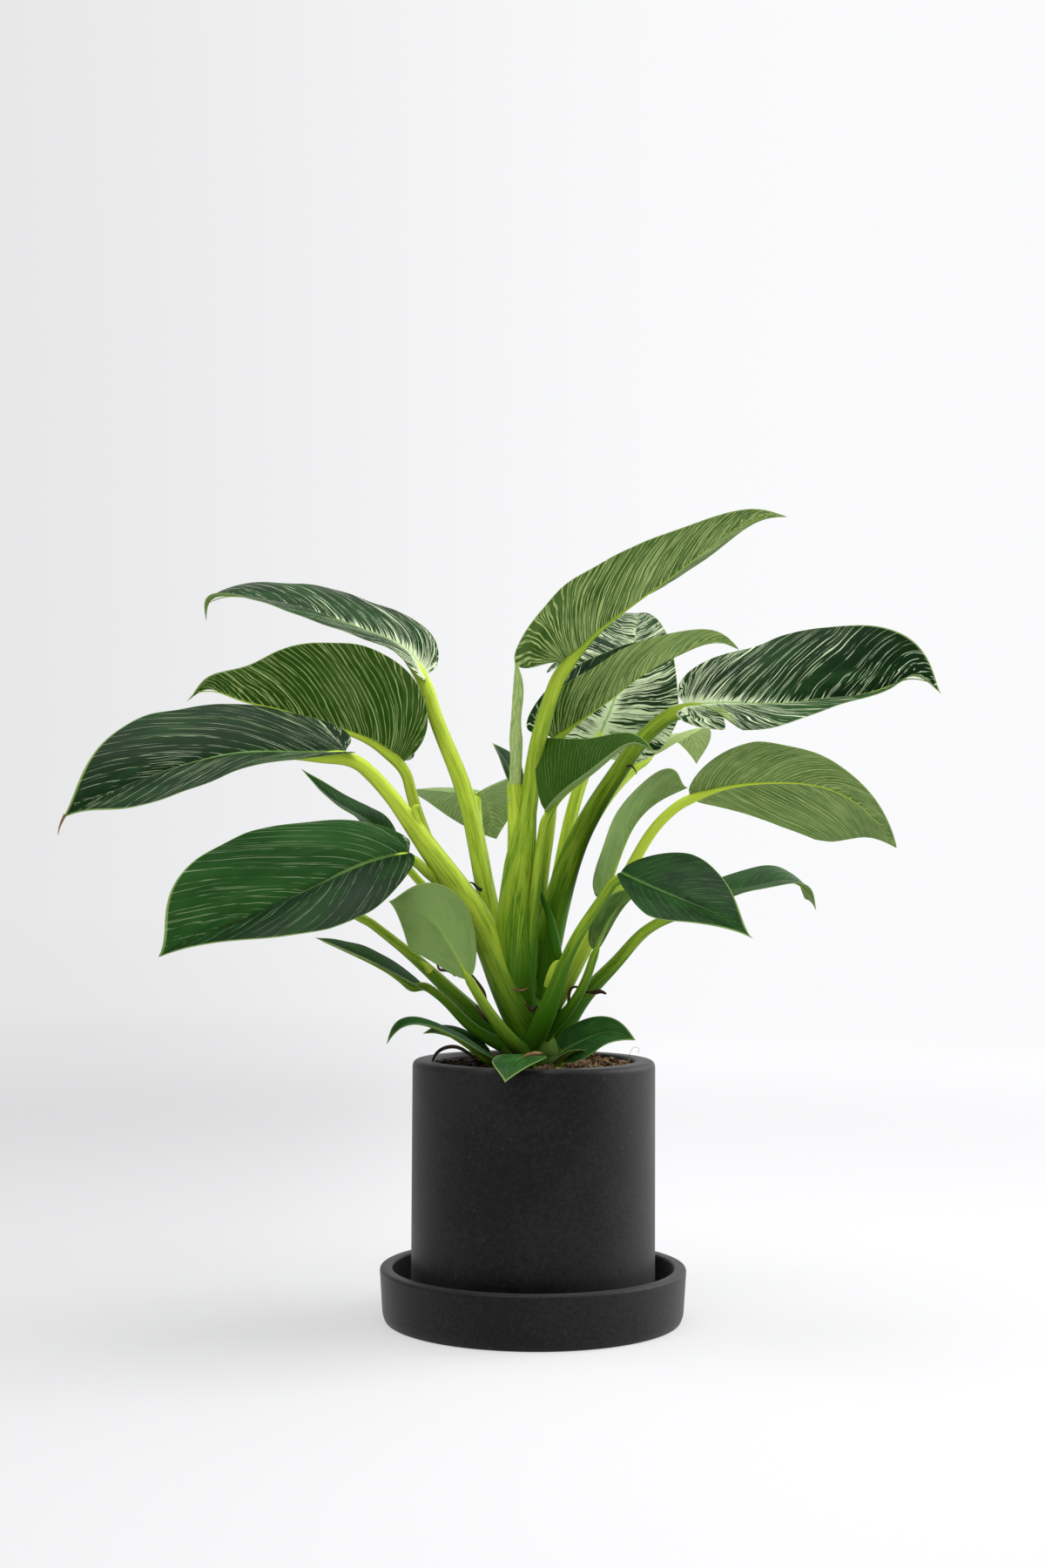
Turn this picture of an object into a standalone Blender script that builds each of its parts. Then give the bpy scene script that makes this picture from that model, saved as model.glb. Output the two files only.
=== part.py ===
"""Potted striped philodendron in a cylindrical planter standing on its saucer.

Sizes are in millimetres and are turned to metres when a mesh is made.
X runs to the right, Y away from the viewer and Z up.
The origin is the middle of the underside of the saucer.
"""

import math

import bmesh
import bpy
import numpy as np

MM = 0.001
GAP = 0.3

# Planter
POT_RADIUS = 70.0
POT_WALL = 12.0
POT_TOP = 148.0
POT_FLOOR = 8.0
DRAIN_RADIUS = 6.0
ROUND_SEGMENTS = 48

# Saucer
SAUCER_RADIUS = 88.0
SAUCER_FOOT_RADIUS = 83.7
SAUCER_HEIGHT = 30.4
SAUCER_WALL = 7.3
SAUCER_FLOOR = 8.0

# Soil
SOIL_TOP = 144.4
SOIL_RELIEF = 1.1
SOIL_RADIUS = POT_RADIUS - POT_WALL - GAP
SOIL_BOTTOM = SAUCER_FLOOR + GAP + POT_FLOOR + GAP

# Plant
STEM_AXIS = (-3.0, 2.0)
ROOT_RADIUS = 20.0
ROOT_BOTTOM = 120.0
ROOT_TOP = 147.0
SHOOT_BOTTOM = 128.0
BLADE_THICKNESS = 0.8
RIB_THICKNESS = 1.6
BLADE_ROWS = 11
SMALL_BLADE_ROWS = 8
SMALL_BLADE_LENGTH = 100.0
HALF_COLUMNS = 3
TUBE_SIDES = 8
STUB_LENGTH = 14.0

GREEN_DARK = (0.045, 0.115, 0.040)
GREEN_LEAF = (0.075, 0.190, 0.055)
GREEN_PALE = (0.190, 0.340, 0.120)
GREEN_STALK = (0.260, 0.430, 0.060)


def leaf(rib, half, stalk, radii, colour=GREEN_DARK, **shape):
    """One leaf: its midrib route, its two half widths, its petiole route and the radii on that."""
    return dict(rib=rib, half=half, stalk=stalk, radii=radii, colour=colour, shape=shape)


# Routes run from the neck to the tip for a midrib and from the stem to the neck for a petiole.
# Half widths, fold, lobe and belly are given for the left and the right half of a blade.
LEAVES = {
    "leaf_upper_left": leaf(
        [(-66, 30, 374), (-77, 36, 390), (-101, 44, 402), (-137, 56, 416),
         (-167, 66, 424), (-190, 72, 428), (-199, 74, 425), (-202, 74, 412)],
        (34, 37),
        [(-4, 4, 178), (-21, 16, 216), (-31, 20, 257), (-43, 24, 308), (-60, 27, 350), (-66, 30, 374)],
        (7, 6, 5.6, 5, 4), fold=(20, 19, 19), curl=(-25, -25), roll=(26, 24, 20, 10), lobe=(0.08, 0.08),
        belly=(0.42, 0.42)),
    "leaf_left_raised": leaf(
        [(-77, 12, 321), (-94, 10, 333), (-121, 8, 342), (-153, 8, 352), (-178, 10, 358), (-192, 10, 363),
         (-205, 10, 355)],
        (49, 49),
        [(-4, 5, 172), (-32, 20, 221), (-58, 20, 264), (-70, 18, 293), (-77, 12, 321)],
        (6, 5, 3.8, 3.3), colour=GREEN_LEAF, fold=(50, 58, 46), curl=(-12, -12), roll=(-22, -24, -14),
        lobe=(0.03, 0.03), belly=(0.34, 0.34), full=(0.16, 0.16)),
    "leaf_left_long": leaf(
        [(-108, -26, 324), (-137, -36, 323), (-164, -46, 322), (-195, -58, 314), (-228, -72, 300),
         (-255, -84, 284)],
        (40, 47),
        [(-4, -5, 162), (-15, -14, 187), (-31, -18, 227), (-58, -22, 266), (-88, -24, 306), (-108, -26, 324)],
        (9, 9, 8.4, 6.6, 4.6, 4), fold=(23, 21, 27), curl=(-20, -20), roll=(30, 36, 40), lobe=(0.04, 0.04),
        belly=(0.52, 0.6), full=(0.26, 0.26)),
    "leaf_left_broad": leaf(
        [(-71, -28, 267), (-94, -46, 261), (-119, -66, 248), (-147, -84, 234), (-177, -100, 221),
         (-198, -110, 210)],
        (42, 46),
        [(-4, 1, 170), (-28, -2, 211), (-47, -12, 244), (-61, -24, 255), (-71, -28, 267)],
        (6, 4.4, 3.4, 3.2, 3), fold=(27, 30, 40), curl=(-20, -20), roll=(52, 52, 45), lobe=(0.0, 0.02),
        belly=(0.3, 0.62), full=(0.34, 0.26), base=(0.35, 0.6), stub=8.0),
    "leaf_front_left": leaf(
        [(-37, -45, 197), (-48, -45, 217), (-62, -42, 232), (-82, -38, 239)],
        (23, 23),
        [(-4, -8, 152), (-13, -29, 161), (-28, -42, 182), (-37, -45, 197)],
        (5, 4.6, 3.2, 2.6), colour=GREEN_PALE, fold=(10, 10), curl=(-20, -20), roll=(-84, -80),
        lobe=(0, 0), belly=(0.5, 0.5), full=(0.3, 0.3)),
    "leaf_back_left_narrow": leaf(
        [(-88, 40, 277), (-102, 52, 293), (-118, 66, 302), (-145, 84, 321)],
        (13, 13),
        [(-4, 5, 176), (-43, 26, 226), (-72, 34, 254), (-88, 40, 277)],
        (5, 3.4, 2.6, 2.2), fold=(30, 30), curl=(-20, -20), roll=(20, 0, 0)),
    "leaf_low_left_edge": leaf(
        [(-66, -16, 193), (-82, -26, 204), (-100, -38, 214), (-122, -50, 221)],
        (20, 20),
        [(-8, 1, 152), (-35, -4, 166), (-52, -10, 183), (-66, -16, 193)],
        (5, 3.6, 2.8, 2.4), fold=(20, 20), curl=(-20, -20), roll=(6, 4, 0)),
    "leaf_low_left_behind": leaf(
        [(-101, 10, 230), (-118, 20, 242), (-139, 30, 247), (-164, 38, 244), (-184, 42, 237)],
        (30, 30),
        [(-8, 8, 153), (-33, 10, 172), (-58, 12, 195), (-79, 12, 213), (-101, 10, 230)],
        (6, 5.6, 4.2, 3, 2.6), fold=(15, 15), curl=(-25, -25), roll=(20, 20)),
    "leaf_far_back": leaf(
        [(-36, 64, 304), (-33, 84, 309), (-31, 108, 305), (-28, 130, 293), (-24, 140, 278)],
        (43, 43),
        [(-2, 6, 178), (-10, 30, 226), (-24, 50, 273), (-36, 64, 304)],
        (6, 4.4, 3.4, 3), colour=GREEN_PALE, fold=(10, 10), curl=(-20, -20), roll=(0, 0)),
    "leaf_back_tip": leaf(
        [(-12, 40, 306), (-16, 48, 320), (-20, 58, 328), (-26, 72, 336)],
        (9, 9),
        [(0, 5, 190), (-7, 26, 257), (-12, 40, 306)],
        (5, 3.4, 2.4), fold=(25, 25), curl=(-10, -10), roll=(-20, -20)),
    "leaf_top": leaf(
        [(16, -10, 377), (35, -12, 395), (56, -14, 411), (81, -16, 429), (111, -18, 452), (130, -18, 461),
         (145, -18, 461)],
        (40, 38),
        [(-4, -6, 172), (-12, -16, 212), (-10, -18, 246), (-6, -18, 280), (-2, -16, 308), (2, -15, 333),
         (9, -12, 357), (16, -10, 377)],
        (6, 10.5, 10.5, 9.5, 5.6, 5, 4.6, 4.2), colour=GREEN_LEAF, fold=(40, 40, 18), curl=(-15, -20),
        roll=(18, 20, 26), lobe=(0.15, 0.15), belly=(0.3, 0.3), full=(0.26, 0.26)),
    "leaf_back_round": leaf(
        [(37, 68, 334), (44, 70, 350), (52, 76, 370), (60, 88, 393), (65, 108, 413), (67, 134, 425),
         (67, 158, 426)],
        (42, 46),
        [(1, 6, 184), (11, 32, 236), (22, 52, 289), (29, 60, 313), (37, 68, 334)],
        (6, 4.6, 4, 4, 3.8), colour=GREEN_LEAF, fold=(5, 5), curl=(-10, -20), roll=(0, 0),
        lobe=(0.08, 0.08), belly=(0.24, 0.24), full=(0.25, 0.25)),
    "leaf_centre_right": leaf(
        [(0, -34, 290), (17, -38, 301), (36, -42, 315), (53, -44, 321), (68, -44, 322)],
        (36, 28),
        [(1, -2, 196), (0, -24, 241), (1, -32, 271), (0, -34, 290)],
        (5, 3.4, 2.8, 2.6), fold=(38, 36, 30), curl=(-20, -20), roll=(-38, -38, -30), lobe=(0.08, 0.08)),
    "leaf_inner_folded": leaf(
        [(10, 22, 336), (26, 16, 346), (44, 10, 358), (64, 4, 373), (88, -2, 385), (106, -6, 390),
         (118, -8, 385)],
        (40, 27),
        [(1, 4, 196), (4, 14, 251), (9, 18, 287), (10, 21, 312), (10, 22, 336)],
        (6, 4.6, 3.8, 3.6, 3.4), fold=(60, 58, 40), curl=(-15, -20), roll=(-8, -8, -4),
        lobe=(0.12, 0.06), belly=(0.34, 0.34)),
    "leaf_right_large": leaf(
        [(88, 6, 354), (111, 10, 356), (142, 14, 356), (174, 18, 360), (207, 22, 366), (226, 25, 374),
         (242, 26, 363)],
        (47, 42),
        [(1, 2, 181), (9, 4, 221), (18, 4, 256), (31, 4, 287), (50, 5, 317), (67, 6, 339), (88, 6, 354)],
        (8, 8.6, 7.8, 6.4, 5.6, 5, 4.4), fold=(16, 32, 41), curl=(-20, -20), roll=(-41, -38, -36),
        lobe=(0.06, 0.06), belly=(0.56, 0.22), full=(0.18, 0.5), wave=(0.5, 1.5)),
    "leaf_right_pale": leaf(
        [(88, -36, 299), (105, -46, 304), (132, -62, 306), (158, -80, 302), (179, -96, 287), (191, -104, 269)],
        (34, 34),
        [(0, -6, 160), (18, -20, 193), (37, -22, 229), (53, -24, 256), (69, -29, 283), (88, -36, 299)],
        (5, 5, 4.4, 3.4, 3.2, 2.8), colour=GREEN_PALE, fold=(5, 5), curl=(-10, -10), roll=(42, 42, 45),
        lobe=(0.02, 0.02), belly=(0.62, 0.28), full=(0.34, 0.28)),
    "leaf_right_edge_on": leaf(
        [(38, -8, 241), (47, -6, 261), (58, -2, 284), (72, 4, 299), (89, 12, 308)],
        (19, 19),
        [(2, 0, 178), (25, -8, 214), (38, -8, 241)],
        (5, 3.6, 3), colour=GREEN_PALE, fold=(25, 25), curl=(-20, -20), roll=(24, 20, 20), lobe=(0, 0)),
    "leaf_front_right": leaf(
        [(47, -58, 256), (68, -76, 246), (89, -94, 237), (102, -106, 230), (114, -114, 221)],
        (37, 28),
        [(-3, -8, 153), (9, -30, 183), (21, -42, 215), (35, -50, 238), (47, -58, 256)],
        (6, 6, 3.8, 3.2, 2.8), fold=(18, 18), curl=(-20, -20), roll=(-34, -36), lobe=(0.03, 0.03),
        belly=(0.45, 0.45)),
    "leaf_low_right": leaf(
        [(89, 12, 233), (111, 18, 245), (132, 26, 252), (151, 32, 255), (162, 36, 248), (169, 38, 234)],
        (16, 16),
        [(7, 6, 146), (17, 8, 165), (29, 8, 184), (49, 8, 205), (66, 10, 223), (89, 12, 233)],
        (5, 6, 4.8, 3.8, 3.2, 2.8), fold=(20, 20, 10), curl=(-20, -20), roll=(-20, -14, -10)),
    "leaf_low_right_small": leaf(
        [(34, -36, 212), (41, -37, 228), (49, -37, 239), (61, -36, 247)],
        (9, 9),
        [(2, -3, 158), (26, -28, 189), (34, -36, 212)],
        (5, 3, 2.4), colour=GREEN_LEAF, fold=(20, 20), curl=(-10, -10), roll=(70, 70), lobe=(0, 0)),
    "leaf_far_right": leaf(
        [(70, 90, 328), (85, 108, 341), (101, 130, 346), (107, 152, 333)],
        (26, 26),
        [(1, 6, 182), (36, 50, 268), (70, 90, 328)],
        (6, 4, 3), colour=GREEN_PALE, fold=(10, 10), curl=(-20, -20), roll=(10, 10)),
}

# Small shoots that rise from the soil on their own, each with its stalk and blade in one piece.
SHOOTS = {
    "shoot_left_front": leaf(
        [(-24, -30, 151), (-43, -38, 163), (-61, -44, 171), (-74, -48, 170), (-82, -50, 160)],
        (13, 13), [(-22, -27, SHOOT_BOTTOM), (-22, -27, 138), (-22, -27, 146), (-24, -30, 151)], (2, 2, 2),
        fold=(20, 20), curl=(-30, -30), roll=(10, 10)),
    "shoot_left_back": leaf(
        [(-28, -6, 152), (-40, -5, 160), (-52, -5, 164), (-64, -7, 163)],
        (10, 10), [(-26, -6, SHOOT_BOTTOM), (-26, -6, 138), (-26, -6, 146), (-28, -6, 152)], (2, 2, 2),
        fold=(20, 20), curl=(-30, -30), roll=(20, 20)),
    "shoot_right": leaf(
        [(16, -25, 155), (30, -34, 165), (43, -42, 169), (56, -50, 163)],
        (14, 14), [(14, -23, SHOOT_BOTTOM), (14, -23, 138), (14, -23, 146), (16, -25, 155)], (2, 2, 2),
        fold=(20, 20), curl=(-30, -30), roll=(-20, -20)),
    "shoot_over_rim": leaf(
        [(-2, -47, 154), (-8, -62, 154), (-13, -78, 150), (-16, -86, 143)],
        (14, 14), [(-1, -43, SHOOT_BOTTOM), (-1, -43, 138), (-1, -43, 146), (-2, -47, 154)], (2, 2, 2),
        fold=(10, 10), curl=(-20, -20), roll=(0, 0)),
}

# Stalks that belong to the clump but carry no open blade.
EXTRA_STALKS = [
    ([(-6, -8, 200), (-9, -14, 236), (-10, -14, 276), (-12.2, -15, 306)], (6, 6.5, 6, 4.2)),
    ([(8, -4, 152), (11, -10, 168), (13, -14, 180)], (4, 3.2, 2.2)),
]
SPEAR = ([(-12.3, -15, 306.4), (-12.3, -14, 345), (-12, -13, 380)], (4.1, 3.8, 0.7))


def clear_scene():
    """Take away every object that the start file holds."""
    for item in list(bpy.data.objects):
        bpy.data.objects.remove(item, do_unlink=True)


def make_material(name, colour, roughness, metallic=0.0):
    """A plain coloured finish."""
    found = bpy.data.materials.get(name)
    if found:
        return found
    material = bpy.data.materials.new(name)
    material.use_nodes = True
    shader = material.node_tree.nodes["Principled BSDF"]
    shader.inputs["Base Color"].default_value = (*colour, 1.0)
    shader.inputs["Roughness"].default_value = roughness
    shader.inputs["Metallic"].default_value = metallic
    return material


def make_object(name, points, faces, colour, roughness, smooth=35.0):
    """A mesh object from points in millimetres."""
    mesh = bpy.data.meshes.new(name)
    mesh.from_pydata([tuple(float(c) * MM for c in p) for p in points], [], faces)
    work = bmesh.new()
    work.from_mesh(mesh)
    bmesh.ops.recalc_face_normals(work, faces=work.faces)
    work.to_mesh(mesh)
    work.free()
    item = bpy.data.objects.new(name, mesh)
    bpy.context.collection.objects.link(item)
    mesh.materials.append(make_material(name + "_finish", colour, roughness))
    mesh.shade_smooth()
    mesh.set_sharp_from_angle(angle=math.radians(smooth))
    return item


def revolve(profile, segments):
    """Turn a closed outline of (radius, height) about the Z axis. Radius 0 makes a single point."""
    points, rings, faces = [], [], []
    for radius, height in profile:
        if radius == 0:
            rings.append([len(points)] * segments)
            points.append((0.0, 0.0, height))
            continue
        rings.append(list(range(len(points), len(points) + segments)))
        for k in range(segments):
            turn = 2 * math.pi * k / segments
            points.append((radius * math.cos(turn), radius * math.sin(turn), height))
    count = len(rings)
    last = count if profile[0][0] > 0 else count - 1
    for i in range(last):
        low, high = rings[i], rings[(i + 1) % count]
        for k in range(segments):
            m = (k + 1) % segments
            corners = list(dict.fromkeys((low[k], low[m], high[m], high[k])))
            faces.append(corners)
    return points, faces


def spline(route, count):
    """Evenly spaced stations on a natural cubic curve through the route."""
    p = np.asarray(route, float)
    knot = np.concatenate([[0], np.cumsum(np.linalg.norm(np.diff(p, axis=0), axis=1) ** 0.7)])
    size = len(p)
    step = np.diff(knot)
    matrix = np.eye(size)
    right = np.zeros_like(p)
    for i in range(1, size - 1):
        matrix[i, i - 1:i + 2] = [step[i - 1], 2 * (step[i - 1] + step[i]), step[i]]
        right[i] = 6 * ((p[i + 1] - p[i]) / step[i] - (p[i] - p[i - 1]) / step[i - 1])
    bend = np.linalg.solve(matrix, right)
    u = np.linspace(0, knot[-1], 400)
    i = np.clip(np.searchsorted(knot, u, side="right") - 1, 0, size - 2)
    a = (knot[i + 1] - u)[:, None]
    b = (u - knot[i])[:, None]
    h = step[i][:, None]
    fine = (bend[i] * a ** 3 + bend[i + 1] * b ** 3) / (6 * h)
    fine = fine + (p[i + 1] / h - bend[i + 1] * h / 6) * b + (p[i] / h - bend[i] * h / 6) * a
    along = np.concatenate([[0], np.cumsum(np.linalg.norm(np.diff(fine, axis=0), axis=1))])
    wanted = np.linspace(0, along[-1], count)
    return np.stack([np.interp(wanted, along, fine[:, j]) for j in range(3)], 1), along[-1]


def unit(v):
    """Vectors scaled to length one."""
    return v / np.maximum(np.linalg.norm(v, axis=-1, keepdims=True), 1e-9)


def bezier(p0, p1, p2, p3, count):
    """Points on a cubic curve from its four control points."""
    t = np.linspace(0, 1, count)[:, None]
    return (1 - t) ** 3 * p0 + 3 * (1 - t) ** 2 * t * p1 + 3 * (1 - t) * t ** 2 * p2 + t ** 3 * p3


def half_outline(length, half, belly, lobe, full, base):
    """Edge of a flat half blade from the back of its lobe to the tip, with its share of length."""
    back = np.array([-0.6 * lobe * length, 0.2 * half])
    wide = np.array([belly * length, half])
    end = np.array([length, 0.0])
    first = bezier(back, np.array([-1.9 * lobe * length, 0.52 * half]),
                   np.array([base * belly * length - 0.3 * lobe * length, half]), wide, 60)
    second = bezier(wide, wide + [full * length, 0.0], np.array([0.90 * length, 0.16 * half]), end, 60)
    edge = np.concatenate([first, second[1:]])
    share = np.concatenate([[0], np.cumsum(np.linalg.norm(np.diff(edge, axis=0), axis=1))])
    return edge, share / share[-1]


def flat_half(length, half, rows, columns, belly, lobe, full, base):
    """Flat pattern of a half blade: a row runs along each side vein, forward and outward."""
    edge, share = half_outline(length, half, belly, lobe, full, base)
    start = np.linspace(0, 1, rows) ** 1.5
    reach = start ** 0.5
    outer = np.stack([np.interp(reach, share, edge[:, j]) for j in range(2)], 1)
    inner = np.stack([start * length, 0 * start], 1)
    middle = inner + np.stack([0.22 * (outer[:, 0] - inner[:, 0]), 0.62 * outer[:, 1]], 1)
    v = np.linspace(0, 1, columns)[None, :, None]
    return (1 - v) ** 2 * inner[:, None] + 2 * v * (1 - v) * middle[:, None] + v ** 2 * outer[:, None]


def blade_grid(spec, rows, columns):
    """Points of the upper face of a blade, from its left edge over the midrib to its right edge."""
    shape = spec["shape"]
    path, length = spline(spec["rib"], 80)
    along = np.linspace(0, length, 80)
    ahead = unit(np.gradient(path, axis=0))
    heading = unit((path[-1] - path[0]) * [1, 1, 0])
    side = np.cross([0, 0, 1.0], heading)
    halves = []
    for i, sign in enumerate((1, -1)):
        half = spec["half"][i]
        flat = flat_half(length, half, rows, columns + 1, shape.get("belly", (0.4, 0.4))[i],
                         shape.get("lobe", (0.06, 0.06))[i], shape.get("full", (0.34, 0.34))[i],
                         shape.get("base", (0.35, 0.35))[i])
        x, y = flat[..., 0], flat[..., 1]
        u = np.clip(x / length, 0, 1)

        def angle(key, tag=None):
            values = shape.get(key, (0, 0))
            return np.radians(np.interp(u, np.linspace(0, 1, len(values)), values))

        centre = np.stack([np.interp(x, along, path[:, j]) for j in range(3)], -1)
        tangent = unit(np.stack([np.interp(x, along, ahead[:, j]) for j in range(3)], -1))
        centre = centre + np.minimum(x, 0)[..., None] * ahead[0]
        up = unit(np.cross(tangent, np.broadcast_to(side, tangent.shape)))
        left = np.cross(up, tangent)
        roll = angle("roll")[..., None]
        normal = up * np.cos(roll) + left * np.sin(roll)
        left = np.cross(normal, tangent)
        fold = angle("fold")
        bend = angle("curl") / half
        out = (np.sin(fold + bend * y) - np.sin(fold)) / bend
        rise = (np.cos(fold) - np.cos(fold + bend * y)) / bend
        wave = shape.get("wave", (0, 0))[i] * (y / half) ** 2
        rise = rise + wave * np.sin(2 * math.pi * 3 * x / length + 2.1 * i)
        halves.append(centre + sign * left * out[..., None] + normal * rise[..., None])
    return np.concatenate([halves[0][:, :0:-1], halves[1]], axis=1)


def blade_solid(spec, rows, columns):
    """A closed thin solid: upper face, lower face with a raised midrib, and the edge between."""
    top = blade_grid(spec, rows, columns)
    across = np.gradient(top, axis=1)
    along = np.gradient(top, axis=0)
    normal = unit(np.cross(across, along))
    up_hint = np.cross(top[1, columns] - top[0, columns], top[1, columns - 1] - top[1, columns + 1])
    if np.dot(normal[1, columns], up_hint) > 0:
        normal = -normal
    depth = np.full(top.shape[:2], BLADE_THICKNESS)
    depth[:, columns] += RIB_THICKNESS * (1 - np.linspace(0, 1, rows))
    bottom = top - normal * depth[..., None]
    wide = 2 * columns + 1
    points = [tuple(p) for p in top[:-1].reshape(-1, 3)]
    shift = len(points)
    points += [tuple(p) for p in bottom[:-1].reshape(-1, 3)]
    tip = len(points)
    points.append(tuple(top[-1, columns]))
    faces = []
    for i in range(rows - 2):
        for j in range(wide - 1):
            a, b = i * wide + j, i * wide + j + 1
            c, d = b + wide, a + wide
            for tri in ((a, b, c), (a, c, d)):
                faces.append(tri)
                faces.append(tuple(n + shift for n in reversed(tri)))
    end = (rows - 2) * wide
    for j in range(wide - 1):
        faces.append((end + j, end + j + 1, tip))
        faces.append((shift + end + j + 1, shift + end + j, tip))
        faces.append((j + 1, j, shift + j, shift + j + 1))
    for column in (0, wide - 1):
        for i in range(rows - 2):
            a, b = i * wide + column, (i + 1) * wide + column
            faces.append((a, b, shift + b, shift + a))
        faces.append((end + column, tip, shift + end + column))
    return points, faces


def tube_solid(path, radii, sides, ahead=None):
    """A closed round tube through the given stations."""
    if ahead is None:
        ahead = unit(np.gradient(path, axis=0))
    first = unit(np.cross(ahead, [0.0, 1.0, 0.0]))
    second = np.cross(ahead, first)
    turn = np.linspace(0, 2 * math.pi, sides, endpoint=False) + 0.21
    ring = first[:, None] * np.cos(turn)[None, :, None] + second[:, None] * np.sin(turn)[None, :, None]
    points = (path[:, None] + ring * np.asarray(radii)[:, None, None]).reshape(-1, 3)
    faces = [tuple(range(sides))]
    count = len(path)
    for i in range(count - 1):
        for k in range(sides):
            m = (k + 1) % sides
            faces.append((i * sides + k, i * sides + m, (i + 1) * sides + m, (i + 1) * sides + k))
    faces.append(tuple(reversed(range((count - 1) * sides, count * sides))))
    return [tuple(p) for p in points], faces


def stalk_parts(spec, stations):
    """The petiole cut near its end: the part that stays with the clump and the stub of the blade."""
    fine, length = spline(spec["stalk"], 120)
    along = np.linspace(0, length, 120)
    radius = np.interp(along, np.linspace(0, length, len(spec["radii"])), spec["radii"])

    course = unit(np.gradient(fine, axis=0))

    def sample(places):
        path = np.stack([np.interp(places, along, fine[:, j]) for j in range(3)], 1)
        ahead = unit(np.stack([np.interp(places, along, course[:, j]) for j in range(3)], 1))
        return path, np.interp(places, along, radius), ahead

    cut = length - spec["shape"].get("stub", STUB_LENGTH)
    kept = sample(np.linspace(0, cut - GAP, stations))
    path, radii, ahead = sample(np.linspace(cut, length, 4))
    rib, rib_length = spline(spec["rib"], 60)
    inside = rib[int(60 * 7.0 / rib_length)]
    path = np.concatenate([path, [inside]])
    path[-2:, 2] -= 1.2
    ahead = np.concatenate([ahead, unit(path[-1:] - path[-2:-1])])
    return kept, (path, np.append(radii, 1.2), ahead)


def fuse(base, others, solver="EXACT"):
    """Join the other solids to the base as one body and take them away."""
    for item in [base, *others]:
        triangulate(item.data)
    group = bpy.data.collections.new("to_fuse")
    bpy.context.scene.collection.children.link(group)
    for item in others:
        for owner in list(item.users_collection):
            owner.objects.unlink(item)
        group.objects.link(item)
    modifier = base.modifiers.new("fuse", "BOOLEAN")
    modifier.operation = "UNION"
    modifier.solver = solver
    modifier.operand_type = "COLLECTION"
    modifier.collection = group
    apply_modifiers(base)
    for item in others:
        bpy.data.objects.remove(item, do_unlink=True)
    bpy.data.collections.remove(group)
    keep_biggest_body(base)
    return base


def triangulate(mesh, corners=3):
    """Split every face with more than the given number of corners into triangles."""
    work = bmesh.new()
    work.from_mesh(mesh)
    bmesh.ops.triangulate(work, faces=[f for f in work.faces if len(f.verts) > corners])
    work.to_mesh(mesh)
    work.free()


def apply_modifiers(item):
    """Replace the mesh by what its modifiers make of it."""
    graph = bpy.context.evaluated_depsgraph_get()
    made = bpy.data.meshes.new_from_object(item.evaluated_get(graph))
    item.modifiers.clear()
    old = item.data
    item.data = made
    finish = [m for m in old.materials][:1]
    made.materials.clear()
    for m in finish:
        made.materials.append(m)
    for face in made.polygons:
        face.material_index = 0
    bpy.data.meshes.remove(old)


def keep_biggest_body(item):
    """Drop crumbs that a union may leave apart from the main body."""
    work = bmesh.new()
    work.from_mesh(item.data)
    work.faces.ensure_lookup_table()
    seen, bodies = set(), []
    for face in work.faces:
        if face.index in seen:
            continue
        body, queue = [], [face]
        seen.add(face.index)
        while queue:
            one = queue.pop()
            body.append(one)
            for edge in one.edges:
                for other in edge.link_faces:
                    if other.index not in seen:
                        seen.add(other.index)
                        queue.append(other)
        bodies.append(body)
    bodies.sort(key=len)
    for body in bodies[:-1]:
        bmesh.ops.delete(work, geom=body, context="FACES")
    work.to_mesh(item.data)
    work.free()


def cut_hole(item, x, y, radius, bottom, top, segments=16):
    """Cut a plain upright round hole."""
    points, faces = revolve([(0, bottom), (radius, bottom), (radius, top), (0, top)], segments)
    points = [(p[0] + x, p[1] + y, p[2]) for p in points]
    cutter = make_object("cutter", points, faces, (0.5, 0.5, 0.5), 0.5)
    cutter.hide_render = True
    cutter.display_type = "WIRE"
    modifier = item.modifiers.new("hole", "BOOLEAN")
    modifier.operation = "DIFFERENCE"
    modifier.solver = "EXACT"
    modifier.object = cutter
    apply_modifiers(item)
    bpy.data.objects.remove(cutter, do_unlink=True)


def build_saucer():
    """Shallow round saucer with a flat underside."""
    inner = SAUCER_RADIUS - SAUCER_WALL
    top = SAUCER_HEIGHT
    profile = [
        (0, 0), (SAUCER_FOOT_RADIUS - 0.6, 0), (SAUCER_FOOT_RADIUS + 1.4, 0.7), (86.0, 4.0),
        (SAUCER_RADIUS - 0.2, top - 3.0), (SAUCER_RADIUS, top - 1.6), (SAUCER_RADIUS - 1.4, top),
        (inner + 1.2, top), (inner, top - 1.4), (inner - 0.8, SAUCER_FLOOR + 2.0),
        (inner - 2.8, SAUCER_FLOOR), (0, SAUCER_FLOOR),
    ]
    return make_object("saucer", *revolve(profile, ROUND_SEGMENTS), (0.012, 0.012, 0.013), 0.55)


def build_pot():
    """Cylindrical planter with a thick wall, soft rim and a drain hole in its floor."""
    low = SAUCER_FLOOR + GAP
    inner = POT_RADIUS - POT_WALL
    profile = [
        (DRAIN_RADIUS, low), (POT_RADIUS - 3.0, low), (POT_RADIUS - 0.8, low + 0.9),
        (POT_RADIUS, low + 3.0), (POT_RADIUS, POT_TOP - 3.4), (POT_RADIUS - 0.9, POT_TOP - 1.0),
        (POT_RADIUS - 3.2, POT_TOP), (inner + 2.6, POT_TOP), (inner + 0.7, POT_TOP - 0.8),
        (inner, POT_TOP - 2.8), (inner, low + POT_FLOOR), (DRAIN_RADIUS, low + POT_FLOOR),
    ]
    return make_object("pot", *revolve(profile, ROUND_SEGMENTS), (0.012, 0.012, 0.013), 0.5)


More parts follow.
